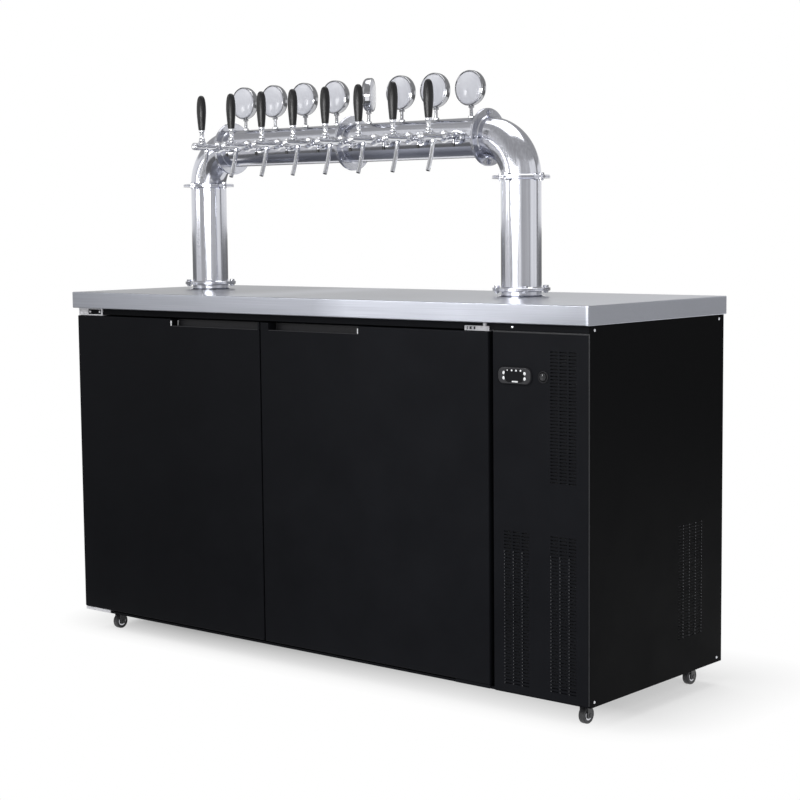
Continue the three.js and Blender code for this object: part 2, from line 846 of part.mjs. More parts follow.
// A medallion about its stem's seat on the beam: stem, nut and the thick disc with its round rim
function medallion() {
  const half = medallionThickness / 2;
  const disc = turned(
    [
      [0, -half],
      [medallionRadius - medallionBackRim, -half],
      [medallionRadius, -half + medallionBackRim],
      [medallionRadius, half - medallionRim],
      [medallionRadius - medallionRim, half],
      [0, half],
    ],
    roundSides,
  );
  const upright = new THREE.Matrix4()
    .makeTranslation(0, 0, medallionHeight)
    .multiply(new THREE.Matrix4().makeRotationX(Math.PI / 2));
  const stemTop = medallionHeight - medallionRadius + medallionBackRim;
  const seatZ = pipeRadius + seat;
  return join(
    placed(disc, upright),
    rodZ(stemRadius, 0, 0, pipeBore - stemNutHeight, stemTop, thinSides),
    rodZ(stemNutRadius, 0, 0, seatZ, seatZ + stemNutHeight, boltSides),
  );
}

// A caster's swivel fork about its swivel axis, with the fixed axle
function casterFork() {
  const top = cabinetBottom - casterPadThickness - seat;
  const crown = rodZ(forkRadius, 0, 0, top - forkTop, top, smallSides);
  const ears = [-1, 1].map((side) => {
    const inner = side * (wheelWidth / 2 + running * 2);
    const outer = inner + side * forkThickness;
    return box(
      Math.min(inner, outer), Math.max(inner, outer),
      wheelTrail - forkWidth / 2, wheelTrail + forkWidth / 2 - axleRadius,
      wheelAxleZ - earBelow, top - forkTop / 2,
    );
  });
  const reach = wheelWidth / 2 + running * 2 + forkThickness;
  const axle = rodX(axleRadius, wheelTrail, wheelAxleZ, -reach, reach, smallSides);
  const kingpin = rodZ(
    kingpinRadius, 0, 0, top - forkTop / 2, cabinetBottom + kingpinLength, smallSides,
  );
  return join(crown, ...ears, axle, kingpin);
}

// A wheel about its own axle along X, with a flat facet on the floor
function casterWheel() {
  const half = wheelWidth / 2;
  const rim = wheelRadius - wheelShoulder;
  const bore = boreFor(axleRadius, wheelSides);
  const profile = [
    [bore, -half],
    [rim, -half],
    [wheelRadius, -half + wheelShoulder],
    [wheelRadius, half - wheelShoulder],
    [rim, half],
    [bore, half],
    [bore, -half],
  ];
  const onSide = new THREE.Matrix4()
    .makeRotationX(Math.PI / wheelSides)
    .multiply(new THREE.Matrix4().makeRotationY(Math.PI / 2));
  return placed(turned(profile, wheelSides), onSide);
}

const trayLeft = panelLeft + bayJamb + windowMargin;
const trayRight = sideFaceX - bayFlange - windowMargin;
const trayZ = cabinetBottom + bayFloor + seat;
const unitX = (trayLeft + trayRight) / 2;
const condenserY = bayFaceY + bayFlange + windowMargin * 2;
const fanZ = trayZ + trayThickness + condenserHeight / 2;
const fanY = condenserY + condenserDepth + running;

// The compressor dome's profile as shares of its radius and of its height
const domeShares = [
  [1, 0],
  [1, 0.7],
  [0.86, 0.9],
  [0.45, 1],
];

// The condensing unit: base tray, condenser block with its fan opening, fan motor, compressor dome
function condensingUnit() {
  const trayBack = bayBackY - windowMargin;
  const tray = box(trayLeft, trayRight, condenserY, trayBack, trayZ, trayZ + trayThickness);
  const block = cut(
    box(
      unitX - condenserWidth / 2, unitX + condenserWidth / 2,
      condenserY, condenserY + condenserDepth,
      trayZ, trayZ + trayThickness + condenserHeight,
    ),
    rodY(
      fanRadius + fanClearance, unitX, fanZ,
      condenserY + condenserDepth / 2, condenserY + condenserDepth + overrun, roundSides,
    ),
  );
  const motorY = fanY + fanDepth / 2 + fanClearance;
  const motor = rodY(motorRadius, unitX, fanZ, motorY, motorY + motorLength, smallSides);
  const shaft = rodY(motorShaft, unitX, fanZ, motorY - fanClearance - fanDepth, motorY + overrun, thinSides);
  const post = box(
    unitX - motorPost / 2, unitX + motorPost / 2, motorY, motorY + motorPost,
    trayZ, fanZ,
  );
  const shellBase = motorY + motorLength + compressorRadius + fanClearance;
  const dome = turned(
    [
      [0, 0],
      ...domeShares.map(([r, h]) => [compressorRadius * r, compressorHeight * h]),
      [0, compressorHeight],
    ],
    roundSides,
  );
  return join(
    tray, block, motor, shaft, post,
    moved(dome, unitX, shellBase, trayZ + trayThickness / 2),
  );
}

// The fan about its shaft's axis along Y
function condenserFan() {
  const hub = rodY(fanHubRadius, 0, 0, -fanDepth / 2, fanDepth / 2, smallSides);
  const bore = rodY(boreFor(motorShaft, thinSides), 0, 0, -fanDepth, fanDepth, thinSides);
  const blades = Array.from({ length: fanBlades }, (_, i) => {
    const blade = new THREE.BoxGeometry(
      fanDepth, bladeThickness, fanRadius - fanHubRadius / 2,
    );
    blade.rotateZ(THREE.MathUtils.degToRad(bladePitchDegrees));
    blade.translate(0, 0, (fanRadius + fanHubRadius / 2) / 2);
    return solid(blade.rotateY((i * Math.PI * 2) / fanBlades));
  });
  return cut(join(hub, ...blades), bore);
}

// Cabinet
addMesh("cabinet_shell", cabinetShell(), blackPaint);
addMesh("worktop", worktop(), brushedSteel);
addMesh("service_panel", servicePanel(), blackPaint);
addMesh("side_panel", sidePanel(), blackPaint);
addMesh("temperature_controller", controller(), darkPlastic);
const rocker = addMesh("light_switch", lightSwitch(), darkPlastic);
rocker.position.set(switchX, rockerY, controllerZ);
addMesh("condensing_unit", condensingUnit(), bareMachine);
const fan = new THREE.Group();
fan.position.set(unitX, fanY, fanZ);
root.add(fan);
addMesh("condenser_fan", condenserFan(), darkPlastic, fan);

// Doors and their hinge brackets
const leftHingeX = cabinetLeft + hingeInset;
const rightHingeX = rightDoorRight - hingeInset;
const leftDoorRight = cabinetLeft + leftDoorWidth;
addMesh(
  "left_door",
  door(
    cabinetLeft, leftDoorRight, leftHingeX,
    leftDoorRight - leftGripMargin - leftGripLength, leftGripLength,
  ),
  blackPaint,
);
addMesh(
  "right_door",
  door(
    rightDoorLeft, rightDoorRight, rightHingeX,
    rightDoorLeft + rightGripMargin, rightGripLength,
  ),
  blackPaint,
);
addMesh("left_top_hinge", hingeBracket(1, 1), chrome);
addMesh("left_bottom_hinge", hingeBracket(1, -1), chrome);
addMesh("right_top_hinge", hingeBracket(-1, 1), chrome);
addMesh("right_bottom_hinge", hingeBracket(-1, -1), chrome);

// Casters
const casterNames = ["front_left", "front_right", "rear_left", "rear_right"];
const forkShape = casterFork();
const wheelShape = casterWheel();
casterPlaces().forEach(([x, y], i) => {
  const caster = new THREE.Group();
  caster.position.set(x, y, 0);
  root.add(caster);
  addMesh(casterNames[i] + "_caster_fork", forkShape, chrome, caster);
  const wheel = addMesh(casterNames[i] + "_caster_wheel", wheelShape, rubberTread, caster);
  wheel.position.set(0, wheelTrail, wheelAxleZ);
});

// Tower: two columns, two elbows and the two halves of the beam
const tapPlaces = Array.from(
  { length: tapCount },
  (_, i) => towerOffset + (i - (tapCount - 1) / 2) * tapPitch,
);
const columnShape = column();
const elbowShape = elbow();
const tower = new THREE.Group();
tower.position.set(0, towerSetback, topZ);
root.add(tower);
const leftColumn = addMesh("left_column", columnShape, polishedSteel, tower);
leftColumn.position.x = leftColumnX;
const rightColumn = addMesh("right_column", columnShape, polishedSteel, tower);
rightColumn.position.x = rightColumnX;
const leftElbow = addMesh("left_elbow", elbowShape, polishedSteel, tower);
leftElbow.position.set(leftColumnX, 0, columnHeight);
const rightElbow = addMesh("right_elbow", elbowShape, polishedSteel, tower);
rightElbow.position.set(rightColumnX, 0, columnHeight);
rightElbow.rotation.z = Math.PI;
const beamStart = leftColumnX + elbowRadius;
const beamEnd = rightColumnX - elbowRadius;
const leftTaps = tapPlaces.filter((x) => x < towerOffset).map((x) => x - beamStart);
const rightTaps = tapPlaces.filter((x) => x > towerOffset).map((x) => x - beamStart);
const leftBeam = addMesh("beam_left_half", beamHalf(leftTaps, false), polishedSteel, tower);
leftBeam.position.set(beamStart, 0, beamHeight);

// The right half is made from its own elbow's side, so its taps count back from the beam's end
const mirror = new THREE.Matrix4().makeScale(-1, 1, 1);
const rightShape = placed(
  beamHalf(rightTaps.map((x) => beamEnd - beamStart - x), true),
  mirror,
);
const rightBeam = addMesh("beam_right_half", rightShape, polishedSteel, tower);
rightBeam.position.set(beamEnd, 0, beamHeight);

// Taps with their handles and flow levers, and the medallions over them
const tapShape = tapBody();
const handleShape = tapHandle();
const leverShape = flowLever();
const medallionShape = medallion();
tapPlaces.forEach((x, i) => {
  const number = i + 1;
  const tap = new THREE.Group();
  tap.position.set(x, -tapReach, beamHeight);
  tower.add(tap);
  addMesh("tap_body_" + number, tapShape, chrome, tap);
  const handle = addMesh("tap_handle_" + number, handleShape, blackGrip, tap);
  handle.position.z = leverZ;
  const lever = addMesh("flow_lever_" + number, leverShape, chrome, tap);
  lever.position.y = tapReach - flowPlace;
  const disc = addMesh("medallion_" + number, medallionShape, medallionFace, tap);
  disc.position.y = tapReach;
  if (i === turnedMedallion) disc.rotation.z = THREE.MathUtils.degToRad(medallionTurnDegrees);
});

export default root;
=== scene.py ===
import math

import bmesh
import bpy
from mathutils import Matrix, Vector


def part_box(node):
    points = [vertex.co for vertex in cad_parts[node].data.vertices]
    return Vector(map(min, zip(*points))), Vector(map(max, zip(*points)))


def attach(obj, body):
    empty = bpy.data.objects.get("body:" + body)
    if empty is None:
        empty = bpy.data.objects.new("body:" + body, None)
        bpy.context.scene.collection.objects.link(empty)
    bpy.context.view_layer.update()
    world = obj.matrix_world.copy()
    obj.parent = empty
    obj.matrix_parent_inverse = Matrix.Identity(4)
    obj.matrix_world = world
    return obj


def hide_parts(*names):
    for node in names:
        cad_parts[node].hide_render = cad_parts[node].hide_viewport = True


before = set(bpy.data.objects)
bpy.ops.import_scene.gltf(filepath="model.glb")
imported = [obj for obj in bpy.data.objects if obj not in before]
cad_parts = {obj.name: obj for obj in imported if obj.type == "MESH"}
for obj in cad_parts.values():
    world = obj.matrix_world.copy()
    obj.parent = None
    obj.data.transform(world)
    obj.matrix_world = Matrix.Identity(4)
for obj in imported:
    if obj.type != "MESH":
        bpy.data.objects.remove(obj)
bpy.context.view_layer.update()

mm = 0.001
cabinetBody = "cabinet"
across, inward, upward = Vector((1, 0, 0)), Vector((0, 1, 0)), Vector((0, 0, 1))


# shapes are drawn in millimetres and scaled once, when a piece is finished
def nodeBox(name):
    low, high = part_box(name)
    return Vector(low) / mm, Vector(high) / mm


def facing(direction, place):
    turn = upward.rotation_difference(Vector(direction).normalized())
    return Matrix.Translation(Vector(place)) @ turn.to_matrix().to_4x4()


def softenEdges(bm, edges, width, steps=2):
    if width:
        bmesh.ops.bevel(bm, geom=list(edges), offset=width, offset_type="OFFSET", segments=steps,
                        profile=0.5, affect="EDGES", material=-1, clamp_overlap=True)


def addBlock(bm, low, high, soften=0, steps=2, matrix=None):
    low, high = Vector(low), Vector(high)
    size = Matrix.Diagonal((*(high - low), 1))
    made = bmesh.ops.create_cube(bm, size=1, matrix=Matrix.Translation((low + high) / 2) @ size)
    verts = made["verts"]
    if matrix:
        bmesh.ops.transform(bm, matrix=matrix, verts=verts)
    softenEdges(bm, {edge for vert in verts for edge in vert.link_edges}, soften, steps)


def addRod(bm, radius, start, end, sides=32, soften=0):
    start, end = Vector(start), Vector(end)
    made = bmesh.ops.create_cone(bm, cap_ends=True, cap_tris=False, segments=sides, radius1=radius,
                                 radius2=radius, depth=(end - start).length,
                                 matrix=facing(end - start, (start + end) / 2))
    caps = {face for vert in made["verts"] for face in vert.link_faces if len(face.verts) == sides}
    softenEdges(bm, {edge for face in caps for edge in face.edges}, soften)


def addSpun(bm, outline, place, axis=(0, 0, 1), steps=48, closed=False):
    # the outline is pairs of radius and height, turned about the axis through the place
    axis, place = Vector(axis).normalized(), Vector(place)
    out = axis.orthogonal().normalized()
    verts = [bm.verts.new(place + axis * height + out * radius) for radius, height in outline]
    pairs = list(zip(verts, verts[1:])) + ([(verts[-1], verts[0])] if closed else [])
    edges = [bm.edges.new(pair) for pair in pairs]
    bmesh.ops.spin(bm, geom=verts + edges, cent=place, axis=axis, angle=math.tau, steps=steps,
                   use_merge=True)
    bmesh.ops.remove_doubles(bm, verts=bm.verts, dist=0.001)


def addSwept(bm, radius, points, sides=16, endRadius=None, bore=0):
    # a round bar carried along a row of points
    points = [Vector(point) for point in points]
    ways = [(b - a).normalized() for a, b in zip(points, points[1:])]
    ways = [ways[0]] + [(a + b).normalized() for a, b in zip(ways, ways[1:])] + [ways[-1]]
    ring = bmesh.ops.create_circle(bm, cap_ends=True, segments=sides, radius=radius,
                                   matrix=facing(ways[0], points[0]))["verts"]
    edges, count = list(ring[0].link_faces[0].edges), len(points) - 1
    for i in range(count):
        made = bmesh.ops.extrude_edge_only(bm, edges=edges)["geom"]
        ring = [part for part in made if isinstance(part, bmesh.types.BMVert)]
        edges = [part for part in made if isinstance(part, bmesh.types.BMEdge)
                 and all(vert in ring for vert in part.verts)]
        turn = ways[i].rotation_difference(ways[i + 1]).to_matrix().to_4x4()
        bmesh.ops.transform(bm, matrix=Matrix.Translation(points[i + 1]) @ turn
                            @ Matrix.Translation(-points[i]), verts=ring)
        if endRadius:
            share = 1 + (endRadius / radius - 1) * (i + 1) / count
            last = 1 + (endRadius / radius - 1) * i / count
            bmesh.ops.scale(bm, vec=(share / last,) * 3, verts=ring,
                            space=Matrix.Translation(-points[i + 1]))
    cap = bmesh.ops.contextual_create(bm, geom=edges)["faces"]
    if bore and cap:
        bmesh.ops.inset_region(bm, faces=cap, thickness=(endRadius or radius) - bore)
        made = bmesh.ops.extrude_discrete_faces(bm, faces=cap)["faces"]
        bmesh.ops.translate(bm, vec=ways[-1] * -bore * 2, verts=[v for face in made for v in face.verts])


def addHexagon(bm, acrossFlats, place, axis, height, soften=0.6):
    start = Vector(place)
    addRod(bm, acrossFlats / math.sqrt(3), start, start + Vector(axis).normalized() * height, 6, soften)


def addObject(name, bm, material=None):
    mesh = bpy.data.meshes.new(name)
    bm.to_mesh(mesh)
    bm.free()
    if material:
        mesh.materials.append(material)
    made = bpy.data.objects.new(name, mesh)
    bpy.context.scene.collection.objects.link(made)
    return made


def carve(piece, cutters):
    # cuts blocks and rods out of a finished piece
    bm = bmesh.new()
    for addCutter in cutters:
        addCutter(bm)
    bmesh.ops.recalc_face_normals(bm, faces=bm.faces)
    bmesh.ops.scale(bm, vec=(mm,) * 3, verts=bm.verts)
    cutter = addObject("cutter", bm)
    cut = piece.modifiers.new("cut", "BOOLEAN")
    cut.operation, cut.solver, cut.object, cut.use_self = "DIFFERENCE", "EXACT", cutter, True
    piece.modifiers.move(len(piece.modifiers) - 1, 0)
    piece.modifiers.remove(piece.modifiers["evenShade"])
    ready = piece.evaluated_get(bpy.context.evaluated_depsgraph_get())
    result = bpy.data.meshes.new_from_object(ready)
    piece.modifiers.clear()
    piece.data = result
    bpy.data.objects.remove(cutter)
    shadeByAngle(piece)


def shadeByAngle(piece):
    softUpTo = math.radians(38)
    bm = bmesh.new()
    bm.from_mesh(piece.data)
    for face in bm.faces:
        face.smooth = True
    for edge in bm.edges:
        edge.smooth = edge.is_manifold and edge.calc_face_angle(0) < softUpTo
    bm.to_mesh(piece.data)
    bm.free()
    even = piece.modifiers.new("evenShade", "WEIGHTED_NORMAL")
    even.keep_sharp = True


def finishPiece(name, bm, material, body=cabinetBody, standsFor=(), shift=(0, 0, 0)):
    bmesh.ops.recalc_face_normals(bm, faces=bm.faces)
    bmesh.ops.translate(bm, vec=shift, verts=bm.verts)
    bmesh.ops.scale(bm, vec=(mm,) * 3, verts=bm.verts)
    piece = addObject(name, bm, material)
    shadeByAngle(piece)
    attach(piece, body)
    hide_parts(*standsFor)
    return piece


# a shader socket that is added, subtracted or multiplied like a number
class Wire:
    def __init__(self, graph, socket):
        self.graph, self.socket = graph, socket

    def sum(self, kind, first, second):
        return self.graph.node("ShaderNodeMath", {"operation": kind}, {0: first, 1: second})

    def __add__(self, other): return self.sum("ADD", self, other)
    def __radd__(self, other): return self.sum("ADD", other, self)
    def __sub__(self, other): return self.sum("SUBTRACT", self, other)
    def __rsub__(self, other): return self.sum("SUBTRACT", other, self)
    def __mul__(self, other): return self.sum("MULTIPLY", self, other)


class Graph:
    def __init__(self, tree):
        self.tree = tree

    def feed(self, value, socket):
        if isinstance(value, Wire):
            self.tree.links.new(value.socket, socket)
        else:
            socket.default_value = value

    def node(self, kind, settings={}, values={}, output=0):
        made = self.tree.nodes.new(kind)
        for setting, value in settings.items():
            setattr(made, setting, value)
        for socket, value in values.items():
            self.feed(value, made.inputs[socket])
        return Wire(self, made.outputs[output])

    def between(self, value, low, high, first, last):
        return self.node("ShaderNodeMapRange", {}, {
            "Value": value, "From Min": low, "From Max": high, "To Min": first, "To Max": last})

    def blend(self, share, first, second):
        first, second = (color if isinstance(color, Wire) else (*color, 1) for color in (first, second))
        return self.node("ShaderNodeMix", {"data_type": "RGBA", "clamp_factor": False},
                         {0: share, 6: first, 7: second}, 2)

    def vector(self, kind, first, second=(0, 0, 0), output=0):
        return self.node("ShaderNodeVectorMath", {"operation": kind}, {0: first, 1: second}, output)

    def direct(self):
        rays = [self.node("ShaderNodeLightPath", {}, {}, name + " Ray")
                for name in ("Is Camera", "Is Glossy", "Is Transmission")]
        return rays[0] + rays[1] + rays[2]


class Finish(Graph):
    def __init__(self, name, **fixed):
        self.material = bpy.data.materials.new(name)
        self.material.use_nodes = True
        super().__init__(self.material.node_tree)
        self.shader = self.tree.nodes["Principled BSDF"]
        self.place = self.node("ShaderNodeTexCoord", {}, {}, "Object")
        for socket, value in fixed.items():
            self.set(socket.replace("_", " "), value)

    def set(self, socket, value):
        self.feed(value, self.shader.inputs[socket])

    def along(self, axis):
        return self.node("ShaderNodeSeparateXYZ", {}, {0: self.place}, axis)

    def noise(self, place, scale, detail=3):
        return self.node("ShaderNodeTexNoise", {}, {
            "Vector": place, "Scale": scale, "Detail": detail, "Roughness": 0.55})

    def finished(self, color, rough, *bump):
        self.set("Base Color", color)
        self.set("Roughness", rough)
        if bump:
            height, strength, depth = bump
            self.set("Normal", self.node("ShaderNodeBump", {}, {
                "Strength": strength, "Distance": depth, "Height": height}, "Normal"))
        return self.material


def paintedSteel():
    paint = {"dark": (0.0074, 0.0078, 0.0096), "light": (0.0106, 0.0112, 0.0138), "stipple": 2600}
    finish = Finish("blackPaint", Metallic=0.0, Specular_IOR_Level=0.03)
    mottle = finish.noise(finish.place, 9, 4)
    across = finish.along("X")
    # painted shade: the paint is darker to the left and, much darker, on the right side
    share = finish.between(across, -0.5, 0.3, 0.62, 1) * finish.between(across, 0.866, 0.869, 1, 0.2)
    tint = finish.blend(mottle, paint["dark"], paint["light"])
    return finish.finished(
        finish.blend(share, (0, 0, 0), tint), finish.between(mottle, 0.3, 0.7, 0.42, 0.52),
        finish.noise(finish.place, paint["stipple"], 2), 0.12, 0.0002)


def brushedSteel():
    # fine lines run along X; slow clouds change the shine a little
    steel = {"dim": (0.51, 0.53, 0.59), "pale": (0.62, 0.64, 0.71), "rough": 0.24, "topFrom": 0.9706}
    # painted light and shade, added along X on the edges and on the top: from, to, first, last; the pair
    # near X 0.87 is a painted highlight on the front right corner, the last one painted shade on the
    # side
    paintedEdgeTones = ((-0.85, 0.03, 0.62, 0.88), (0.05, 0.16, 0, 0.34), (0.51, 0.85, 0, -0.69),
                 (0.869, 0.872, 0, 0.47), (0.8767, 0.8773, 0, -0.3))
    paintedTopTones = ((-0.42, -0.26, 0.42, 0.7), (-0.22, -0.1, 0, -0.14), (0.1, 0.8, 0, 0.19))
    finish = Finish("topSteel", Metallic=1.0)
    lines = finish.noise(finish.vector("MULTIPLY", finish.place, (3, 900, 900)), 1, 2)
    clouds = finish.noise(finish.place, 3, 2)
    across = finish.along("X")
    # painted light along Y on the edges, rising towards the back
    paintedLightAlongY = finish.between(finish.along("Y"), -0.28, 0.3, 0, 0.42)
    paintedEdgeLight = sum((finish.between(across, *tone) for tone in paintedEdgeTones), paintedLightAlongY)
    paintedTopLight = sum(finish.between(across, *tone) for tone in paintedTopTones)
    isTop = finish.between(finish.along("Z"), steel["topFrom"], steel["topFrom"] + 0.0006, 0, 1)
    share = paintedEdgeLight + isTop * (paintedTopLight - paintedEdgeLight)
    tint = finish.blend(finish.between(lines, 0.3, 0.7, 0, 1), steel["dim"], steel["pale"])
    return finish.finished(finish.blend(share, (0, 0, 0), tint),
                           steel["rough"] + lines * 0.08 + clouds * 0.04, lines, 0.08, 0.0002)


def polishedTube(name, along):
    finish = Finish(name, Metallic=1.0)
    sizes = [2 if axis == along else 260 for axis in range(3)]
    lines = finish.noise(finish.vector("MULTIPLY", finish.place, sizes), 1, 2)
    return finish.finished(finish.blend(lines, (0.5, 0.51, 0.56), (0.74, 0.75, 0.81)),
                           0.08 + lines * 0.08 + finish.noise(finish.place, 5, 2) * 0.06,
                           lines, 0.04, 0.0002)


def brightPlate(name, level):
    finish = Finish(name, Metallic=1.0)
    clouds = finish.noise(finish.place, 30, 2)
    dim, pale = ([level * tint for tint in tints] for tints in ((0.92, 0.93, 0.98), (1.07, 1.08, 1.13)))
    return finish.finished(finish.blend(clouds, dim, pale), finish.between(clouds, 0.3, 0.7, 0.07, 0.15))


def moulded(name, dark, pale, rough, scale=60, coat=0.0, level=0.5, grain=0.05):
    finish = Finish(name, Metallic=0.0, Coat_Weight=coat, Coat_Roughness=0.06, Specular_IOR_Level=level)
    cloud = finish.noise(finish.place, scale, 3)
    bump = (finish.noise(finish.place, scale * 30, 2), grain, 0.0002) if grain else ()
    return finish.finished(finish.blend(cloud, dark, pale),
                           finish.between(cloud, 0.3, 0.7, rough - 0.04, rough + 0.04), *bump)


def stuccoSheet():
    finish = Finish("linerSheet", Metallic=1.0)
    dimples = finish.node("ShaderNodeTexVoronoi", {}, {"Vector": finish.place, "Scale": 160}, "Distance")
    return finish.finished(finish.blend(dimples, (0.62, 0.63, 0.65), (0.8, 0.8, 0.82)),
                           finish.between(dimples, 0, 0.6, 0.3, 0.45), dimples, 0.4, 0.0006)


blackPaint = paintedSteel()
topSteel = brushedSteel()
standingTube = polishedTube("standingTube", 2)
lyingTube = polishedTube("lyingTube", 0)
chromePlate = brightPlate("chromePlate", 0.72)
# a darker copy of the chrome for the medallion drums: painted shade on their reflections
drumChromeWithPaintedShade = brightPlate("drumChromeWithPaintedShade", 0.44)
gripPlastic = moulded("gripPlastic", (0.002, 0.002, 0.003), (0.004, 0.004, 0.005), 0.38, 40, 0, 0.4, 0)
lensPlastic = moulded("lensPlastic", (0.55, 0.56, 0.61), (0.64, 0.65, 0.7), 0.14, 25, 0.3, 0.5, 0)
darkPlastic = moulded("darkPlastic", (0.011, 0.011, 0.013), (0.018, 0.018, 0.021), 0.35, 90, 0, 0.25)
groovePlastic = moulded("groovePlastic", (0.016, 0.016, 0.019), (0.024, 0.024, 0.028), 0.5, 90, 0, 0.2)
screenGlass = moulded("screenGlass", (0.004, 0.004, 0.005), (0.007, 0.007, 0.009), 0.3, 60, 0, 0.12, 0)
keyRubber = moulded("keyRubber", (0.8, 0.81, 0.83), (0.88, 0.89, 0.91), 0.5, 90)
sealRubber = moulded("sealRubber", (0.016, 0.016, 0.018), (0.026, 0.026, 0.028), 0.62, 70)
treadRubber = moulded("treadRubber", (0.03, 0.03, 0.033), (0.05, 0.05, 0.054), 0.45, 90)
hubPlastic = moulded("hubPlastic", (0.3, 0.3, 0.32), (0.4, 0.4, 0.42), 0.4, 60)
machineBlack = moulded("machineBlack", (0.012, 0.012, 0.013), (0.022, 0.022, 0.024), 0.35, 40)
copperPipe = moulded("copperPipe", (0.5, 0.2, 0.1), (0.62, 0.28, 0.16), 0.3, 30)
linerSheet = stuccoSheet()
forkSteel = moulded("forkSteel", (0.02, 0.02, 0.022), (0.05, 0.05, 0.055), 0.2, 120)
hingeZinc = moulded("hingeZinc", (0.4, 0.4, 0.43), (0.85, 0.85, 0.88), 0.3, 90)
# paint for the painted highlights along the service cover's edges
trimHighlightPaint = moulded("trimHighlightPaint", (0.016, 0.0165, 0.019), (0.03, 0.031, 0.034), 0.5, 60, 0, 0.2)
# pale paint for the painted highlights on the slots' cut edges
slotHighlightPaint = moulded("slotHighlightPaint", (0.14, 0.142, 0.15), (0.24, 0.243, 0.26), 0.5, 400, 0, 0.2)
casePlastic = moulded("casePlastic", (0.022, 0.022, 0.025), (0.034, 0.034, 0.038), 0.4, 90, 0, 0.2)
bladePaint = moulded("bladePaint", (0.05, 0.051, 0.055), (0.07, 0.071, 0.076), 0.5, 60, 0, 0.1)
print("finishes ready")


worktop = {"soften": 2.2, "hole": 39, "columnX": (-679, 437), "columnY": 50}


def drillForColumns(piece, radius, bottom, top):
    y = worktop["columnY"]
    carve(piece, [lambda bm, x=x: addRod(bm, radius, (x, y, bottom), (x, y, top), 48)
                  for x in worktop["columnX"]])


low, high = nodeBox("worktop")
topZ = high.z
bm = bmesh.new()
addBlock(bm, low, high, worktop["soften"], 3)
slab = finishPiece("steelTop", bm, topSteel, standsFor=["worktop"])
drillForColumns(slab, worktop["hole"], low.z - 5, high.z + 5)
print("worktop ready")


# doors, with their finger grooves, inner panels and gaskets
doorShape = {"depth": 46, "soften": 2.6, "lip": 6, "lipDrop": 20, "reach": 24, "grooveDrop": 34,
             "liner": 1.6, "gasketInset": 30, "gasketWidth": 18, "gasketDepth": 9.7,
             "panelInset": 58, "panelRise": 7, "pinBack": 14, "pinHole": 4.6, "pinDepth": 18}
pinXs = {"left": -858.5, "right": 573.5}


def makeDoor(hand, grooveLeft, grooveLength, highlightTicks):
    node, pinX = hand + "_door", pinXs[hand]
    low, high = nodeBox(node)
    front, back = low.y, low.y + doorShape["depth"]
    inner = front + doorShape["lip"] + doorShape["reach"]
    grooveRight = grooveLeft + grooveLength
    lipTop, floorZ = high.z - doorShape["lipDrop"], high.z - doorShape["grooveDrop"]
    pinY, hole, sunk = front + doorShape["pinBack"], doorShape["pinHole"], doorShape["pinDepth"]
    bm = bmesh.new()
    addBlock(bm, low, (high.x, back, high.z), doorShape["soften"], 3)
    leaf = finishPiece(node + "_leaf", bm, blackPaint, node, [node])
    carve(leaf, [
        lambda bm: addBlock(bm, (grooveLeft, front - 5, lipTop), (grooveRight, inner, high.z + 5)),
        lambda bm: addBlock(bm, (grooveLeft, front + doorShape["lip"], floorZ),
                            (grooveRight, inner, high.z + 4)),
        lambda bm: addRod(bm, hole, (pinX, pinY, low.z - 5), (pinX, pinY, low.z + sunk), 24),
        lambda bm: addRod(bm, hole, (pinX, pinY, high.z - sunk), (pinX, pinY, high.z + 5), 24),
    ])
    # the groove's moulded liner: a lip over the front edge, a floor and a back
    liner, left, right = doorShape["liner"], grooveLeft + 0.2, grooveRight - 0.2
    bm = bmesh.new()
    addBlock(bm, (left, front - 0.4, lipTop + 0.02), (right, front + 7.5, lipTop + liner), 0.5)
    addBlock(bm, (left, front + 6.1, floorZ + 0.05), (right, inner - 0.1, floorZ + liner))
    addBlock(bm, (left, inner - liner, floorZ), (right, inner - 0.05, high.z - 1.5), 0.4)
    finishPiece(node + "_groove_liner", bm, groovePlastic, node)
    # white rods inside the groove's ends: painted highlights, standing in for the glints on the liner's
    # end edges
    bm = bmesh.new()
    for x, depth in highlightTicks:
        addRod(bm, 1.7, (x, front + depth, lipTop + 1), (x, front + depth, high.z - 5), 16, 0.7)
    finishPiece(node + "_groove_highlight_ticks", bm, keyRubber, node)
    # the gasket: a wide foot and two soft ribs
    inset, width, deep = (doorShape[key] for key in ("gasketInset", "gasketWidth", "gasketDepth"))
    bm = bmesh.new()
    for near, far, rise in ((0, width, 4), (1.5, 8, deep), (10, 16.5, deep - 0.6)):
        (x0, z0, x3, z3), (x1, z1, x2, z2) = ((low.x + into, low.z + into, high.x - into, high.z - into)
                                              for into in (inset + near, inset + far))
        for left, bottom, right, top in ((x0, z0, x1, z3), (x2, z0, x3, z3),
                                         (x1, z0, x2, z1), (x1, z2, x2, z3)):
            addBlock(bm, (left, back, bottom), (right, back + rise, top), 1.2)
    finishPiece(node + "_gasket", bm, sealRubber, node)
    # the raised inner panel
    bm = bmesh.new()
    edge = doorShape["panelInset"]
    addBlock(bm, (low.x + edge, back - 1, low.z + edge),
             (high.x - edge, back + doorShape["panelRise"], high.z - edge), 5, 4)
    finishPiece(node + "_inner_panel", bm, linerSheet, node)


makeDoor("left", -489.5, 330, [(-487.5, 1.8), (-487.5, 27)])
makeDoor("right", -121.5, 308, [(184, 1.8)])
print("doors ready")


hinges = {
    "left_top_hinge": {"reach": 100, "rise": 19.9, "slot": (40, 94)},
    "right_top_hinge": {"reach": 72, "rise": 12, "slot": (40, 66)},
    "left_bottom_hinge": {"reach": 104, "rise": -9, "slot": ()},
    "right_bottom_hinge": {"reach": 104, "rise": -9, "slot": ()},
}
hingeShape = {"sheet": 3, "soften": 0.8, "bend": 19.9, "bar": 6, "below": 3.6, "above": 2.4,
              "pinY": -272, "pin": 4, "collar": 7, "collarRise": 1.6, "screw": 3, "boss": 5}


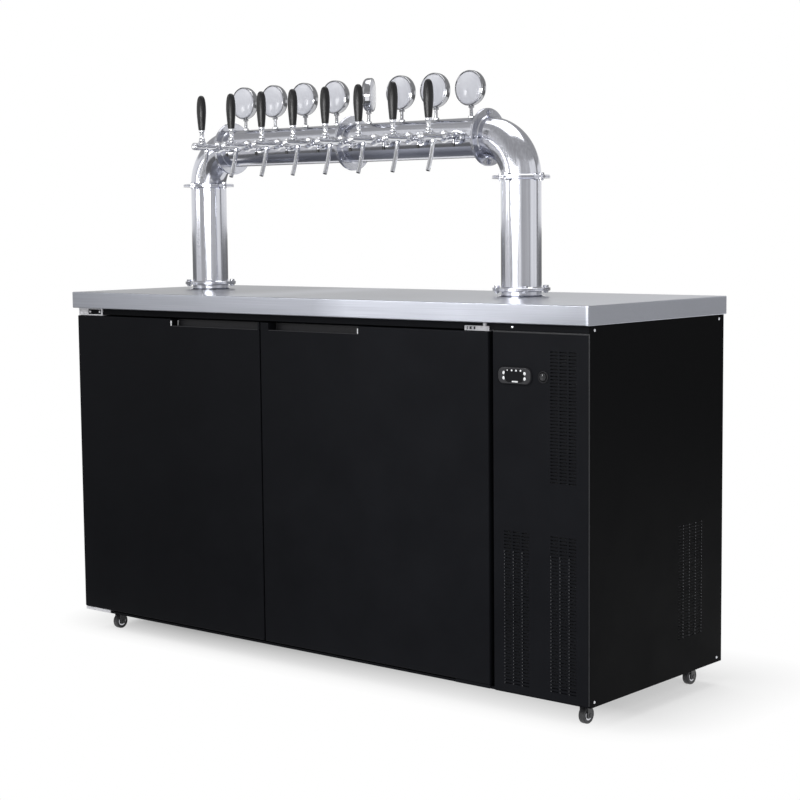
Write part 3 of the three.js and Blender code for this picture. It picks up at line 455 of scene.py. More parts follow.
def makeHinge(node, leg):
    # an angle bracket with its pin; an upper one has a slot across its upright leg
    low, high = nodeBox(node)
    sheet, soft = hingeShape["sheet"], hingeShape["soften"]
    side = -1 if "left" in node else 1
    pinX, pinY = pinXs["left" if side < 0 else "right"], hingeShape["pinY"]
    outside = high.x if side > 0 else low.x
    upper = leg["rise"] > 0
    foot = high.z - hingeShape["bend"] if upper else low.z + hingeShape["bar"]
    pinEnds = (low.z, foot + sheet) if upper else (foot, high.z)
    bm = bmesh.new()

    def addStrip(start, end, bottom, top):
        ends = sorted((outside - side * start, outside - side * end))
        addBlock(bm, (ends[0], low.y, bottom), (ends[1], low.y + sheet, top), soft)

    left, right = sorted((outside, outside - side * leg["reach"]))
    addBlock(bm, (left, low.y + 2, foot), (right, high.y, foot + sheet), soft)
    if upper:
        top = foot + leg["rise"]
        near, far = leg["slot"]
        addStrip(0, near, foot, top)
        addStrip(far, leg["reach"], foot, top)
        addStrip(near - 1, far + 1, foot, foot + hingeShape["below"])
        addStrip(near - 1, far + 1, top - hingeShape["above"], top)
        for step in (near + 8, far - 6):
            x, z = outside - side * step, (foot + top) / 2 + 0.6
            addRod(bm, hingeShape["screw"], (x, low.y + 2.6, z), (x, low.y - 0.4, z), 24, 0.6)
        addRod(bm, hingeShape["boss"], (pinX, low.y + 4, top - 1), (pinX, low.y + 4, high.z), 24, 1)
    else:
        addStrip(0, leg["reach"], low.z, foot + sheet)
    addRod(bm, hingeShape["pin"], (pinX, pinY, pinEnds[0]), (pinX, pinY, pinEnds[1]), 32, 0.6)
    head = foot + 2.8 if upper else foot - 1.4
    addRod(bm, hingeShape["collar"], (pinX, pinY, head),
           (pinX, pinY, head + hingeShape["collarRise"]), 32, 0.4)
    # painted shade: the right bottom bracket takes the black paint in place of zinc, for the shadow it
    # sits in
    paint = blackPaint if node == "right_bottom_hinge" else hingeZinc
    finishPiece(node + "_bracket", bm, paint, standsFor=[node])


for node, leg in hinges.items():
    makeHinge(node, leg)
print("hinges ready")


# covers of the machine bay, pierced with rows of small air slots. A field of slots is its left
# end, bottom, columns, rows, column width and how many of the rows get a painted highlight on a cut edge
faceY, controlX, controlZ, switchX = -286, 666.5, 806.5, 745
slots = {"pitch": 7.8, "web": 2.4, "sheet": 2.4, "blade": 7, "bladeDepth": 6.4, "lean": 35}
covers = {
    "service": {"way": across, "out": -inward, "face": -faceY, "edge": (2.1, 2.9, 2.1),
                "fields": [(762, 564, 3, 39, 25.2, 0), (630, 80, 3, 47, 25.2, 41),
                           (762, 80, 3, 47, 25.2, 41)],
                "windows": [(controlX - 38, controlZ - 13, controlX + 38, controlZ + 13)],
                "rounds": [(switchX, controlZ, 12.8)]},
    "side": {"way": inward, "out": across, "face": nodeBox("side_panel")[1].x,
             "edge": (25.1, 25.9, 2.2), "fields": [(88, 148, 4, 36, 28, 36)],
             "windows": [], "rounds": []},
}


def makeCover(name, cover):
    # drawn flat with X along the way and Y up, as one grid whose lines run along every edge of
    # every opening, then stood up with its outer side at the face
    low, high = nodeBox(name + "_panel")
    way, out, face, fields = (cover[key] for key in ("way", "out", "face", "fields"))
    web, pitch = slots["web"], slots["pitch"]
    openings = cover["windows"] + [(x - radius - 2, y - radius - 2, x + radius + 2, y + radius + 2)
                                   for x, y, radius in cover["rounds"]]
    for left, bottom, columns, rows, cell, lit in fields:
        for column in range(columns):
            for row in range(rows):
                x, y = left + column * cell, bottom + row * pitch
                openings.append((x + web, y + web, x + cell - web, y + pitch - web))
    lines = []
    for axis, side in enumerate((way, upward)):
        ends = {round(opening[end], 2) for opening in openings for end in (axis, axis + 2)}
        lines.append(sorted({low.dot(side), high.dot(side)} | ends))
    counts = [len(line) - 1 for line in lines]
    bm = bmesh.new()
    bmesh.ops.create_grid(bm, x_segments=counts[0], y_segments=counts[1], size=0.5)
    for vert in bm.verts:
        vert.co.x, vert.co.y = (line[round((vert.co[axis] + 0.5) * count)]
                                for axis, (line, count) in enumerate(zip(lines, counts)))

    def isOpen(x, y):
        return any(left < x < right and bottom < y < top for left, bottom, right, top in openings)

    gone = [patch for patch in bm.faces if isOpen(*patch.calc_center_median().xy)]
    bmesh.ops.delete(bm, geom=gone, context="FACES")
    for x, y, radius in cover["rounds"]:
        reach = radius + 2.1
        rim = [edge for edge in bm.edges if edge.is_boundary and
               all(abs(vert.co.x - x) < reach and abs(vert.co.y - y) < reach for vert in edge.verts)]
        ring = bmesh.ops.create_circle(bm, cap_ends=False, segments=48, radius=radius,
                                       matrix=Matrix.Translation((x, y, 0)))["verts"]
        rim += list({edge for vert in ring for edge in vert.link_edges})
        bmesh.ops.triangle_fill(bm, use_beauty=True, use_dissolve=False, edges=rim)
    bmesh.ops.recalc_face_normals(bm, faces=bm.faces)
    bmesh.ops.solidify(bm, geom=list(bm.faces), thickness=slots["sheet"])
    stand = Matrix((way, upward, out)).transposed().to_4x4()
    bmesh.ops.transform(bm, matrix=stand, verts=bm.verts)
    outermost = max(vert.co.dot(out) for vert in bm.verts)
    bmesh.ops.translate(bm, vec=out * (face - outermost), verts=bm.verts)
    finishPiece(name + "_cover", bm, blackPaint, standsFor=[name + "_panel"])

    def behind(along, up, depth):
        return way * along + upward * up + out * (face - depth)

    # a painted highlight, a pale block on the cut edge at one end of the slots, and a leaning blade
    # behind each row
    edges, blades = bmesh.new(), bmesh.new()
    near, far, deep = cover["edge"]
    lean = Matrix.Rotation(-math.radians(slots["lean"]), 3, "X")
    turned = (Matrix((way, -out, upward)).transposed() @ lean).to_4x4()
    for left, bottom, columns, rows, cell, lit in fields:
        size = Vector((columns * cell, 0.8, slots["blade"]))
        for row in range(rows):
            z = bottom + row * pitch
            middle = behind(left + size.x / 2, z + pitch / 2, slots["bladeDepth"])
            addBlock(blades, -size / 2, size / 2, 0.3, 1, Matrix.Translation(middle) @ turned)
            for column in range(columns if row < lit else 0):
                x = left + column * cell
                addBlock(edges, behind(x + near, z + web, 0.1), behind(x + far, z + web + 3, deep))
    finishPiece(name + "_cover_edge_highlights", edges, slotHighlightPaint)
    finishPiece(name + "_cover_blades", blades, bladePaint)


for name, cover in covers.items():
    makeCover(name, cover)
# pale strips along the top and right edges of the service cover: painted highlights on its folded edges
low, high = nodeBox("service_panel")
bm = bmesh.new()
addBlock(bm, (low.x + 0.5, faceY - 0.5, high.z - 4), (high.x - 0.5, faceY + 1.5, high.z - 0.2), 0.5)
addBlock(bm, (high.x - 4, faceY - 0.5, low.z + 0.5), (high.x - 0.4, faceY + 1.5, high.z - 3), 0.5)
finishPiece("service_cover_highlight_trim", bm, trimHighlightPaint)

bezel = {"outer": 14, "bore": 11, "proud": 2.5, "tube": 11}
outer, bore, proud, tube = bezel.values()
bm = bmesh.new()
addSpun(bm, [(bore, -tube), (bore, proud - 0.6), (bore + 0.6, proud), (outer - 1.2, proud),
             (outer, proud - 1.2), (outer, 0.02), (12.6, 0.02), (12.6, -tube)],
        (switchX, faceY, controlZ), (0, -1, 0), 48, True)
finishPiece("switch_bezel", bm, darkPlastic)


def addPanHead(bm, place, way, radius):
    place, way = Vector(place), Vector(way)
    addSpun(bm, [(0, 2), (radius * 0.5, 1.8), (radius * 0.85, 1.2), (radius, 0.3), (radius, 0)],
            place, way, 24)


# screws on the front rail, the side cover and the back
bm = bmesh.new()
addPanHead(bm, (656, -283.3, 917.3), (0, -1, 0), 4)
for y, z in ((-268, 916), (-268, 72), (272, 916), (272, 72)):
    addPanHead(bm, (872.4, y, z), (1, 0, 0), 3.6)
for x in (-840, -420, 0, 420, 840):
    for z in (84, 900):
        addPanHead(bm, (x, 293.9, z), (0, 1, 0), 4)
finishPiece("cover_screws", bm, chromePlate)
print("covers ready")

control = {"size": (92, 38), "depth": 5, "corner": 15, "screen": (56, 30), "screenCorner": 12,
           "keys": (29.5, 6), "keyRadius": 3.9, "lampUp": 12.2, "lampPitch": 12.6}
low, high = nodeBox("temperature_controller")
frontY = faceY - 0.3 - control["depth"]


def addSlab(bm, width, height, front, back, corner, rimWidth):
    # a plate standing on the panel, with round corners and a soft front rim
    size = Matrix.Diagonal((width, back - front, height, 1))
    middle = Matrix.Translation((controlX, (front + back) / 2, controlZ))
    made = bmesh.ops.create_cube(bm, size=1, matrix=middle @ size)
    corners = [edge for edge in {e for vert in made["verts"] for e in vert.link_edges}
               if abs((edge.verts[0].co - edge.verts[1].co).y) > 0.5]
    softenEdges(bm, corners, corner, 8)
    rim = [edge for edge in bm.edges if all(abs(vert.co.y - front) < 0.01 for vert in edge.verts)]
    softenEdges(bm, rim, rimWidth, 3)


bm = bmesh.new()
addSlab(bm, *control["size"], frontY, faceY - 0.3, control["corner"], 1.6)
addBlock(bm, (low.x + 11, faceY + 0.2, low.z + 6), (high.x - 11, high.y, high.z - 6), 1)
finishPiece("controller_case", bm, casePlastic, standsFor=["temperature_controller"])
bm = bmesh.new()
addSlab(bm, *control["screen"], frontY - 0.6, frontY + 1, control["screenCorner"], 0.5)
finishPiece("controller_screen", bm, screenGlass)
bm = bmesh.new()
(keyX, keyZ), radius = control["keys"], control["keyRadius"]
for x in (controlX - keyX, controlX + keyX):
    for z in (controlZ - keyZ, controlZ + keyZ):
        addSpun(bm, [(0, 0.9), (radius * 0.7, 0.7), (radius, 0.1), (radius, -0.5)],
                (x, frontY, z), (0, -1, 0), 24)
addBlock(bm, (controlX - 6, frontY - 0.8, controlZ - 15),
         (controlX + 11, frontY + 1, controlZ - 11.8), 0.4)
finishPiece("controller_keys", bm, keyRubber)
bm = bmesh.new()
z = controlZ + control["lampUp"]
for step in (-1.5, -0.5, 0.5, 1.5):
    x = controlX + step * control["lampPitch"]
    addRod(bm, 1.5 if step == -1.5 else 2.3, (x, frontY + 1, z), (x, frontY - 0.9, z), 16)
finishPiece("controller_lamps", bm, keyRubber)

rocker = {"middle": 5, "pin": 2, "pinReach": 13.5}
rockerY = faceY + rocker["middle"]
bm = bmesh.new()
addSpun(bm, [(0, 8.1), (4, 8.3), (7.8, 9), (8.8, 8.6), (9.2, 7.8), (9.2, -9), (0, -9)],
        (switchX, rockerY, controlZ), (0, -1, 0), 48)
addRod(bm, rocker["pin"], (switchX - rocker["pinReach"], rockerY, controlZ),
       (switchX + rocker["pinReach"], rockerY, controlZ), 16)
finishPiece("rocker_button", bm, darkPlastic, "light_switch", ["light_switch"])
bm = bmesh.new()
addBlock(bm, (switchX - 0.7, rockerY - 9.1, controlZ + 3),
         (switchX + 0.7, rockerY - 8, controlZ + 6.5), 0.2)
finishPiece("rocker_mark", bm, keyRubber, "light_switch")
print("controls ready")

room = {"low": (-822.2, -229.4, 110.3), "high": (552.2, 243.7, 875.7), "sheet": 1.2}
bm = bmesh.new()
(x0, y0, z0), (x1, y1, z1), sheet = room["low"], room["high"], room["sheet"]
addBlock(bm, (x0, y1 - sheet, z0), (x1, y1, z1))
addBlock(bm, (x0, y0, z0), (x0 + sheet, y1, z1))
addBlock(bm, (x1 - sheet, y0, z0), (x1, y1, z1))
addBlock(bm, (x0, y0, z0), (x1, y1, z0 + sheet))
finishPiece("room_lining", bm, linerSheet)
bm = bmesh.new()
addBlock(bm, (x0, y0, z1 - sheet), (x1, y1, z1))
roof = finishPiece("room_ceiling", bm, linerSheet)
drillForColumns(roof, worktop["hole"] - 1, z1 - 9, z1 + 9)
bm = bmesh.new()
for z in (250, 420, 590, 760):
    for x in (x0 + sheet, x1 - sheet - 8):
        addBlock(bm, (x, -180, z), (x + 8, 200, z + 12), 2)
finishPiece("shelf_rails", bm, linerSheet)
print("cold room ready")

caster = {"width": 18, "axle": 3.5, "crown": 56.7, "pad": 32.5, "bolts": 24}
casterPlaces = {"front_left": (-810.5, -224), "front_right": (810.5, -224),
                "rear_left": (-810.5, 232), "rear_right": (810.5, 232)}


def makeCaster(side, x, y):
    fork, wheel = side + "_caster_fork", side + "_caster_wheel"
    low, high = nodeBox(wheel)
    centre = (low + high) / 2
    half = caster["width"] / 2
    bm = bmesh.new()
    addSpun(bm, [(11.5, -half + 2), (17, -half), (19, -half + 0.4), (20.4, -half + 2), (20.9, -half + 4),
                 (20.9, half - 4), (20.4, half - 2), (19, half - 0.4), (17, half), (11.5, half - 2)],
            centre, across, 64, True)
    finishPiece(wheel + "_tyre", bm, treadRubber, wheel, [wheel])
    bm = bmesh.new()
    addSpun(bm, [(4, -half + 1), (7, -half + 0.5), (8, -half + 2), (14, -half + 3), (14.5, 0),
                 (14, half - 3), (8, half - 2), (7, half - 0.5), (4, half - 1)],
            centre, across, 48, True)
    finishPiece(wheel + "_hub", bm, casePlastic, wheel)
    bm = bmesh.new()
    for way in (-1, 1):
        addSpun(bm, [(8.2, half - 2.2), (8.8, half - 0.9), (11, half - 0.6), (12.6, half - 1.4),
                     (12.6, half - 2.6)], centre, across * way, 48, True)
    finishPiece(wheel + "_ring", bm, chromePlate, wheel)
    bm = bmesh.new()
    crown = Vector((x, y, caster["crown"]))
    addSpun(bm, [(0, -8), (19, -8), (21, -6.5), (21, -1), (20, 0), (0, 0)], crown, upward, 48)
    addRod(bm, 4, crown - upward, crown + upward * 14, 24)
    for way in (-1, 1):
        outer = x + way * (half + 3.1)
        near, far = sorted((x + way * (half + 0.6), outer))
        addBlock(bm, (near, centre.y - 10, 13.6), (far, centre.y + 8, 50), 1, 2)
        addHexagon(bm, 8, (outer, centre.y, centre.z), (way, 0, 0), 1.2, 0.3)
    reach = across * (half + 3)
    addRod(bm, caster["axle"], centre - reach, centre + reach, 24)
    finishPiece(fork + "_metal", bm, forkSteel, fork, [fork])


for side, (x, y) in casterPlaces.items():
    makeCaster(side, x, y)
bm = bmesh.new()
for x, y in casterPlaces.values():
    pad = caster["pad"]
    addBlock(bm, (x - pad, y - pad, 56.9), (x + pad, y + pad, 59.9), 1)
    for dx in (-caster["bolts"], caster["bolts"]):
        for dy in (-caster["bolts"], caster["bolts"]):
            addHexagon(bm, 9, (x + dx, y + dy, 57), (0, 0, -1), 3.5, 0.4)
finishPiece("caster_plates", bm, chromePlate)
print("casters ready")

low, high = nodeBox("condensing_unit")
unit = {"x": 737.1, "fanY": -214.9, "fanZ": 200.3, "motor": 20, "shaft": 4, "fins": 46,
        "finStep": 4.25, "tubes": 8, "tubeStep": 27, "pipe": 4}
unitX, fanY, fanZ, trayZ = unit["x"], unit["fanY"], unit["fanZ"], low.z
# the tray, the motor on its strut and the compressor
bm = bmesh.new()
addBlock(bm, low, (high.x, high.y, trayZ + 3), 1)
for y in (low.y, high.y - 3):
    addBlock(bm, (low.x, y, trayZ), (high.x, y + 3, trayZ + 14), 1)
addRod(bm, unit["motor"], (unitX, fanY + 16, fanZ), (unitX, fanY + 61, fanZ), 40, 3)
addRod(bm, unit["shaft"], (unitX, fanY - 9, fanZ), (unitX, fanY + 20, fanZ), 20)
addBlock(bm, (unitX - 6, fanY + 16, trayZ), (unitX + 6, fanY + 28, fanZ), 1)
centreY = fanY + 140
addSpun(bm, [(0, 2.5), (66, 2.5), (71, 8), (72, 60), (72, 92), (74, 93), (74, 97), (72, 98), (71.5, 122),
             (66, 145), (52, 163), (32, 173), (0, 176)], (unitX, centreY, trayZ), upward, 64)
finishPiece("machine_parts", bm, machineBlack, standsFor=["condensing_unit"])
# fins between two end plates, and the fan's shroud
bm = bmesh.new()
unitFront = low.y
for step in range(unit["fins"]):
    x = unitX - 98 + step * unit["finStep"]
    addBlock(bm, (x, unitFront, trayZ + 8), (x + 0.8, unitFront + 18, trayZ + 228))
for x in (unitX - 100, unitX + 97):
    addBlock(bm, (x, unitFront, trayZ + 3), (x + 3, unitFront + 36, trayZ + 235), 1)
addSpun(bm, [(75, 0), (75, 18), (77, 18), (77, 0)], (unitX, unitFront + 18, fanZ), inward, 64, True)
finishPiece("condenser_fins", bm, hubPlastic)
# tubes through the fins, and the pipe from the compressor
bm = bmesh.new()
for row in range(unit["tubes"]):
    z = trayZ + 22 + row * unit["tubeStep"]
    addRod(bm, unit["pipe"], (unitX - 104, unitFront + 9, z), (unitX + 104, unitFront + 9, z), 16)
path = [(unitX + 40, centreY, trayZ + 150), (unitX + 55, centreY - 20, trayZ + 190),
        (unitX + 70, centreY - 70, trayZ + 200), (unitX + 88, centreY - 120, trayZ + 205),
        (unitX + 92, unitFront + 30, trayZ + 212)]
addSwept(bm, unit["pipe"], path, 12)
finishPiece("condenser_pipes", bm, copperPipe)

# the hub and its blades, each twisted towards the tip
fan = {"bore": 4.8, "hub": 16, "half": 9, "blades": 5, "chord": 17, "length": 54, "middle": 41,
       "tip": 68, "pitch": 52, "twist": 22, "flatten": 0.62, "sheet": 1.4}
bore, hub, half = fan["bore"], fan["hub"], fan["half"]
bm = bmesh.new()
place = Vector((unitX, fanY, fanZ))
addSpun(bm, [(bore, -half), (hub - 2, -half), (hub, 2 - half), (hub, half), (bore, half)],
        place, inward, 40, True)
for step in range(fan["blades"]):
    blade = bmesh.new()
    bmesh.ops.create_grid(blade, x_segments=6, y_segments=8, size=0.5,
                          matrix=Matrix.Diagonal((fan["chord"], fan["length"], 1, 1)))
    bmesh.ops.translate(blade, vec=(0, fan["middle"], 0), verts=blade.verts)
    for vert in blade.verts:
        reach = vert.co.y / fan["tip"]
        lean = math.radians(fan["pitch"] - reach * fan["twist"])
        vert.co.x *= 0.8 + reach * 1.1
        vert.co = Matrix.Rotation(lean, 3, "Y") @ vert.co
        vert.co.z *= fan["flatten"]
    bmesh.ops.solidify(blade, geom=list(blade.faces), thickness=fan["sheet"])
    bmesh.ops.transform(blade, matrix=Matrix.Translation(place)
                        @ Matrix.Rotation(step * math.tau / fan["blades"], 4, "Y")
                        @ Matrix.Rotation(math.pi / 2, 4, "X"), verts=blade.verts)
    mesh = bpy.data.meshes.new("blade")
    blade.to_mesh(mesh)
    blade.free()
    bm.from_mesh(mesh)
    bpy.data.meshes.remove(mesh)
finishPiece("fan_blades", bm, darkPlastic, "condenser_fan", ["condenser_fan"])
print("condensing unit ready")

tower = {"tube": 50.8, "bore": 48.3, "flange": 72.5, "plate": 4, "circle": 62,
         "rise": 398.5, "bend": 102, "boltFlats": 12, "boltHead": 5.2, "shank": 4, "foot": 18}
(leftX, rightX), towerY = worktop["columnX"], worktop["columnY"]
bore, tube, plate, bend = (tower[key] for key in ("bore", "tube", "plate", "bend"))
beamZ = topZ + tower["rise"]
elbowZ = beamZ - bend


def addFlange(bm, place, axis, start, end):
    edge, flange = 0.7, tower["flange"]
    addSpun(bm, [(bore, start), (flange - edge, start), (flange, start + edge), (flange, end - edge),
                 (flange - edge, end), (bore, end)], place, axis, 96, True)
    # the weld bead between tube and plate
    bead, way = (end, 1) if end > -start else (start, -1)
    addSpun(bm, [(tube - 0.5, bead - way * 0.2), (tube + 2.6, bead), (tube + 1.4, bead + way * 1.2),
                 (tube - 0.2, bead + way * 2.4)], place, axis, 96)


def addBolts(bm, place, axis, angles, near, far):
    # heads at the near side of the joint, nuts with a little thread at the far side
    flats, high = tower["boltFlats"], tower["boltHead"]
    axis = Vector(axis).normalized()
    first = inward if abs(axis.y) < 0.5 else across
    second = axis.cross(first)
    for angle in angles:
        centre = Vector(place) + (first * math.cos(angle) + second * math.sin(angle)) * tower["circle"]
        head, nut = centre + axis * near, centre - axis * far
        addRod(bm, 8, head, head + axis * 0.9, 24)
        addHexagon(bm, flats, head + axis * 0.9, axis, high - 0.6, 0.7)
        addRod(bm, 8, nut, nut - axis * 0.9, 24)
        addHexagon(bm, flats, nut - axis * 0.9, -axis, high - 1.2, 0.7)
        addRod(bm, tower["shank"], head, nut - axis * (high + 1), 16, 0.5)


square = [step * math.pi / 2 for step in range(4)]
diagonal = [angle + math.pi / 4 for angle in square]


def addTube(bm, start, end):
    length = (end - start).length
    addSpun(bm, [(bore, 0), (tube, 0), (tube, length), (bore, length)], start, end - start, 96, True)


def makeColumn(name, x):
    foot = Vector((x, towerY, topZ))
    joint = Vector((x, towerY, elbowZ))
    bm = bmesh.new()
    addTube(bm, foot + upward * 0.3, joint - upward * 0.15)
    seam = foot + upward * tower["foot"]
    addFlange(bm, seam, upward, 0.1, 4)
    addFlange(bm, seam, upward, -4, -0.1)
    addBolts(bm, seam, upward, diagonal, 4, 4)
    addFlange(bm, joint, upward, -plate, -0.15)
    # the foot's collar
    addSpun(bm, [(tube - 0.3, 0.3), (58, 0.3), (58.4, 0.8), (58, 1.3), (54.5, 1.5), (52.6, 3.2),
                 (tube - 0.3, 3.4)], foot, upward, 96)
    finishPiece(name + "_tube", bm, standingTube, standsFor=[name])


def makeElbow(name, x, way):
    joint = Vector((x, towerY, elbowZ))
    bm = bmesh.new()
    ring = bmesh.ops.create_circle(bm, cap_ends=False, segments=96, radius=tube,
                                   matrix=Matrix.Translation(joint + upward * 0.15))
    edges = list({edge for vert in ring["verts"] for edge in vert.link_edges})
    bmesh.ops.spin(bm, geom=ring["verts"] + edges, cent=joint + Vector((way * bend, 0, 0.15)),
                   axis=(0, way, 0), angle=math.pi / 2, steps=40, use_merge=False)
    addFlange(bm, joint, upward, 0.15, plate)
    addBolts(bm, joint, upward, square, plate, plate)
    mouth = joint + Vector((way * bend, 0, bend))
    addFlange(bm, mouth, (way, 0, 0), -plate, -0.15)
    finishPiece(name + "_bend", bm, standingTube, standsFor=[name])


def makeBeam(name, start, end, boltedMiddle):
    start = Vector((start, towerY, beamZ))
    end = Vector((end, towerY, beamZ))
    way = (end - start).normalized()
    bm = bmesh.new()
    addTube(bm, start + way * 0.15, end - way * 0.15)
    addFlange(bm, start, way, 0.15, plate)
    addBolts(bm, start, way, square, plate, plate)
    addFlange(bm, end, way, -plate, -0.15)
    if boltedMiddle:
        addBolts(bm, end, -way, diagonal, plate, plate)
    finishPiece(name + "_tube", bm, lyingTube, standsFor=[name])


makeColumn("left_column", leftX)
makeColumn("right_column", rightX)
makeElbow("left_elbow", leftX, 1)
makeElbow("right_elbow", rightX, -1)
makeBeam("beam_left_half", leftX + bend, (leftX + rightX) / 2, False)
makeBeam("beam_right_half", rightX - bend, (leftX + rightX) / 2, True)
print("tower ready")

# taps, drawn about the lever's foot and moved along the beam
tap = {"count": 8, "pitch": 115, "reach": 172, "leverRise": 18, "flowBack": 76, "turnedMedallion": 5}
tapXs = [(leftX + rightX) / 2 + (step - (tap["count"] - 1) / 2) * tap["pitch"]
         for step in range(tap["count"])]
tapY = towerY - tap["reach"]


def drawTapBody(bm):
    addSpun(bm, [(0, -34), (6.4, -34), (7.4, -33.4), (8, -32.6), (8.2, -31.4), (9.4, -31.2), (10, -30.4),
                 (10, -13), (9.5, -12), (9.5, 12), (10, 13), (10, 20), (9, 22), (9, 44), (10.5, 46),
                 (12.5, 49), (13.6, 54), (13.6, 68), (12.4, 69), (12.4, 74), (11.2, 76), (11.2, 96),
                 (12, 98), (13.4, 101), (13.4, 106.9), (17.2, 106.9), (18, 107.8), (18, 119.6),
                 (17, 120.8), (8.5, 120.8), (8.5, 142), (0, 142)], (0, 0, 0), inward, 48)
    addHexagon(bm, 27.6, (0, 55, 0), inward, 12, 1.2)
    addSpun(bm, [(8, 0), (9.4, 7), (11, 9), (11, 12.6), (10.5, 13.8), (9.7, 14), (9, 13.2), (8.4, 11)],
            (0, 0, 0), upward, 40)
    addSpun(bm, [(6, -8), (7.4, -9), (7.4, -13), (6.6, -14), (5.2, -14)], (0, 18, 0), upward, 32)
    # the spout bends down along a parabola
    shares = [step / 16 for step in range(17)]
    path = [(0, 18 * (1 - t) ** 2 + 36 * t * (1 - t) - 4 * t * t, -56 * t * (1 - t) - 85 * t * t)
            for t in shares]
    addSwept(bm, 6.2, path, 24, 5.4, 4)
    addRod(bm, 2.4, (10, tap["flowBack"], 0), (22, tap["flowBack"], 0), 16, 0.4)


def drawStem(bm):
    bmesh.ops.create_uvsphere(bm, u_segments=32, v_segments=20, radius=8.5)
    addSpun(bm, [(5.4, 5), (5.4, 8.5), (6.2, 9.5), (6.2, 17), (5.6, 18), (5.6, 19.4), (7.4, 20.4),
                 (8.2, 22), (8.2, 26), (7.6, 27.4), (0, 27.4)], (0, 0, 0), upward, 32)


def drawGrip(bm):
    addSpun(bm, [(0, 27.2), (8.2, 27.2), (9, 28), (9.6, 34), (10.8, 46), (12, 60), (12.8, 72), (13, 80),
                 (12.8, 90), (12, 101), (10.5, 110), (8.4, 116), (5.4, 119.6), (2.6, 120.8), (0, 121)],
            (0, 0, 0), upward, 40)


def drawFlowArm(bm):
    addRod(bm, 8, (16.6, 0, 0), (21.6, 0, 0), 32, 0.8)
    addBlock(bm, (16.6, -3, -17), (20.1, 3, 0), 0.8)
    addRod(bm, 3, (18.35, 0, -15), (18.35, 0, -23), 20, 0.4)


def drawFlowTip(bm):
    addRod(bm, 4, (18.35, 0, -25), (18.35, 0, -16), 24, 1.2)


def drawDrum(bm):
    # the housing: a drum with a round back, its foot and its nut on the beam
    addSpun(bm, [(41.2, -9.6), (41.2, -11.6), (42.4, -12.2), (43.8, -11.6), (44.5, -10), (44.5, 0.5),
                 (44, 3.6), (42.4, 7), (39.6, 10), (35.6, 12.2), (30, 13.3), (0, 13.5)],
            (0, 0, 125), inward, 72)
    addRod(bm, 4.5, (0, 0, 44), (0, 0, 88), 32)
    addHexagon(bm, 14, (0, 0, 51.2), upward, 4, 0.6)
    addSpun(bm, [(4.5, 0), (7.4, 0.4), (7.4, 4), (6, 6.5), (4.5, 6.5)], (0, 0, 75.2), upward, 32)


def drawLens(bm):
    dome = [(41.1 * math.sin(step / 14 * math.pi / 2), -10 - 6.5 * math.cos(step / 14 * math.pi / 2))
            for step in range(15)]
    addSpun(bm, dome, (0, 0, 125), inward, 72)


tapPlace, drumPlace = Vector((0, tapY, beamZ)), Vector((0, towerY, beamZ))
stemPlace = tapPlace + upward * tap["leverRise"]
flowPlace = tapPlace + inward * tap["flowBack"]
tapPieces = [
    ("tap_metal", drawTapBody, chromePlate, "chrome", cabinetBody, "tap_body", tapPlace),
    ("handle_stem", drawStem, chromePlate, "chrome", "tap_handle", None, stemPlace),
    ("handle_grip", drawGrip, gripPlastic, "grip", "tap_handle", "tap_handle", stemPlace),
    ("flow_arm", drawFlowArm, chromePlate, "chrome", "flow_lever", "flow_lever", flowPlace),
    ("flow_tip", drawFlowTip, gripPlastic, "grip", "flow_lever", None, flowPlace),
    ("medallion_drum", drawDrum, drumChromeWithPaintedShade, "medallion", cabinetBody, "medallion", drumPlace),
    ("medallion_lens", drawLens, lensPlastic, "medallion", cabinetBody, None, drumPlace),
]
turned = Matrix.Rotation(math.radians(120), 4, "Z")
for number, x in enumerate(tapXs, 1):
    for name, draw, material, slot, body, node, place in tapPieces:
        bm = bmesh.new()
        draw(bm)
        if number == tap["turnedMedallion"] and name.startswith("medallion"):
            bmesh.ops.transform(bm, matrix=turned, verts=bm.verts)
        finishPiece("%s_%d" % (name, number), bm, material,
                    body if body == cabinetBody else "%s_%d" % (body, number),
                    ["%s_%d" % (node, number)] if node else [], place + across * x)
print("taps ready")

# the cabinet's shell shows as it is
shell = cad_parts["cabinet_shell"].data
shell.materials.clear()
shell.materials.append(blackPaint)


def stageFinish(name, color):
    finish = Finish(name, Roughness=0.9, Specular_IOR_Level=0.0)
    cloud = finish.noise(finish.place, 0.6, 2)
    finish.set("Base Color", finish.blend(cloud, color, [c * 0.99 for c in color]))
    return finish


# the floor turns white with the distance from the rear half of the cabinet's footprint; near it a
# painted glow also lifts the shadow, more to the right
floorLook = {"color": (0.93, 0.93, 0.93), "middle": (0, 0.15, 0), "half": (0.84, 0.2, 0),
             "reach": 0.28, "leastGlow": (0.22, 0.5)}
floor = stageFinish("floorPaint", floorLook["color"])
rear = floor.vector("SUBTRACT", floor.place, floorLook["middle"])
beyond = floor.vector("SUBTRACT", floor.vector("ABSOLUTE", rear), floorLook["half"])
distance = floor.vector("LENGTH", floor.vector("MAXIMUM", beyond), (0, 0, 0), "Value")
# painted light: a glow that lifts the shadow near the cabinet, from 0.22 at the left to 0.5 at the right
leastGlow = floor.between(floor.along("X"), -0.6, 0.4, *floorLook["leastGlow"])
glowShare = leastGlow + floor.between(distance, 0, floorLook["reach"], 0, 1) * (1 - leastGlow)
glow = floor.node("ShaderNodeEmission", {}, {"Color": (1, 1, 1, 1)})
shown = floor.node("ShaderNodeMixShader", {}, {
    0: floor.direct() * glowShare, 1: Wire(floor, floor.shader.outputs[0]), 2: glow})
floor.feed(shown, floor.tree.nodes["Material Output"].inputs["Surface"])
bm = bmesh.new()
bmesh.ops.create_grid(bm, x_segments=1, y_segments=1, size=60)
addObject("studio_floor", bm, floor.material)

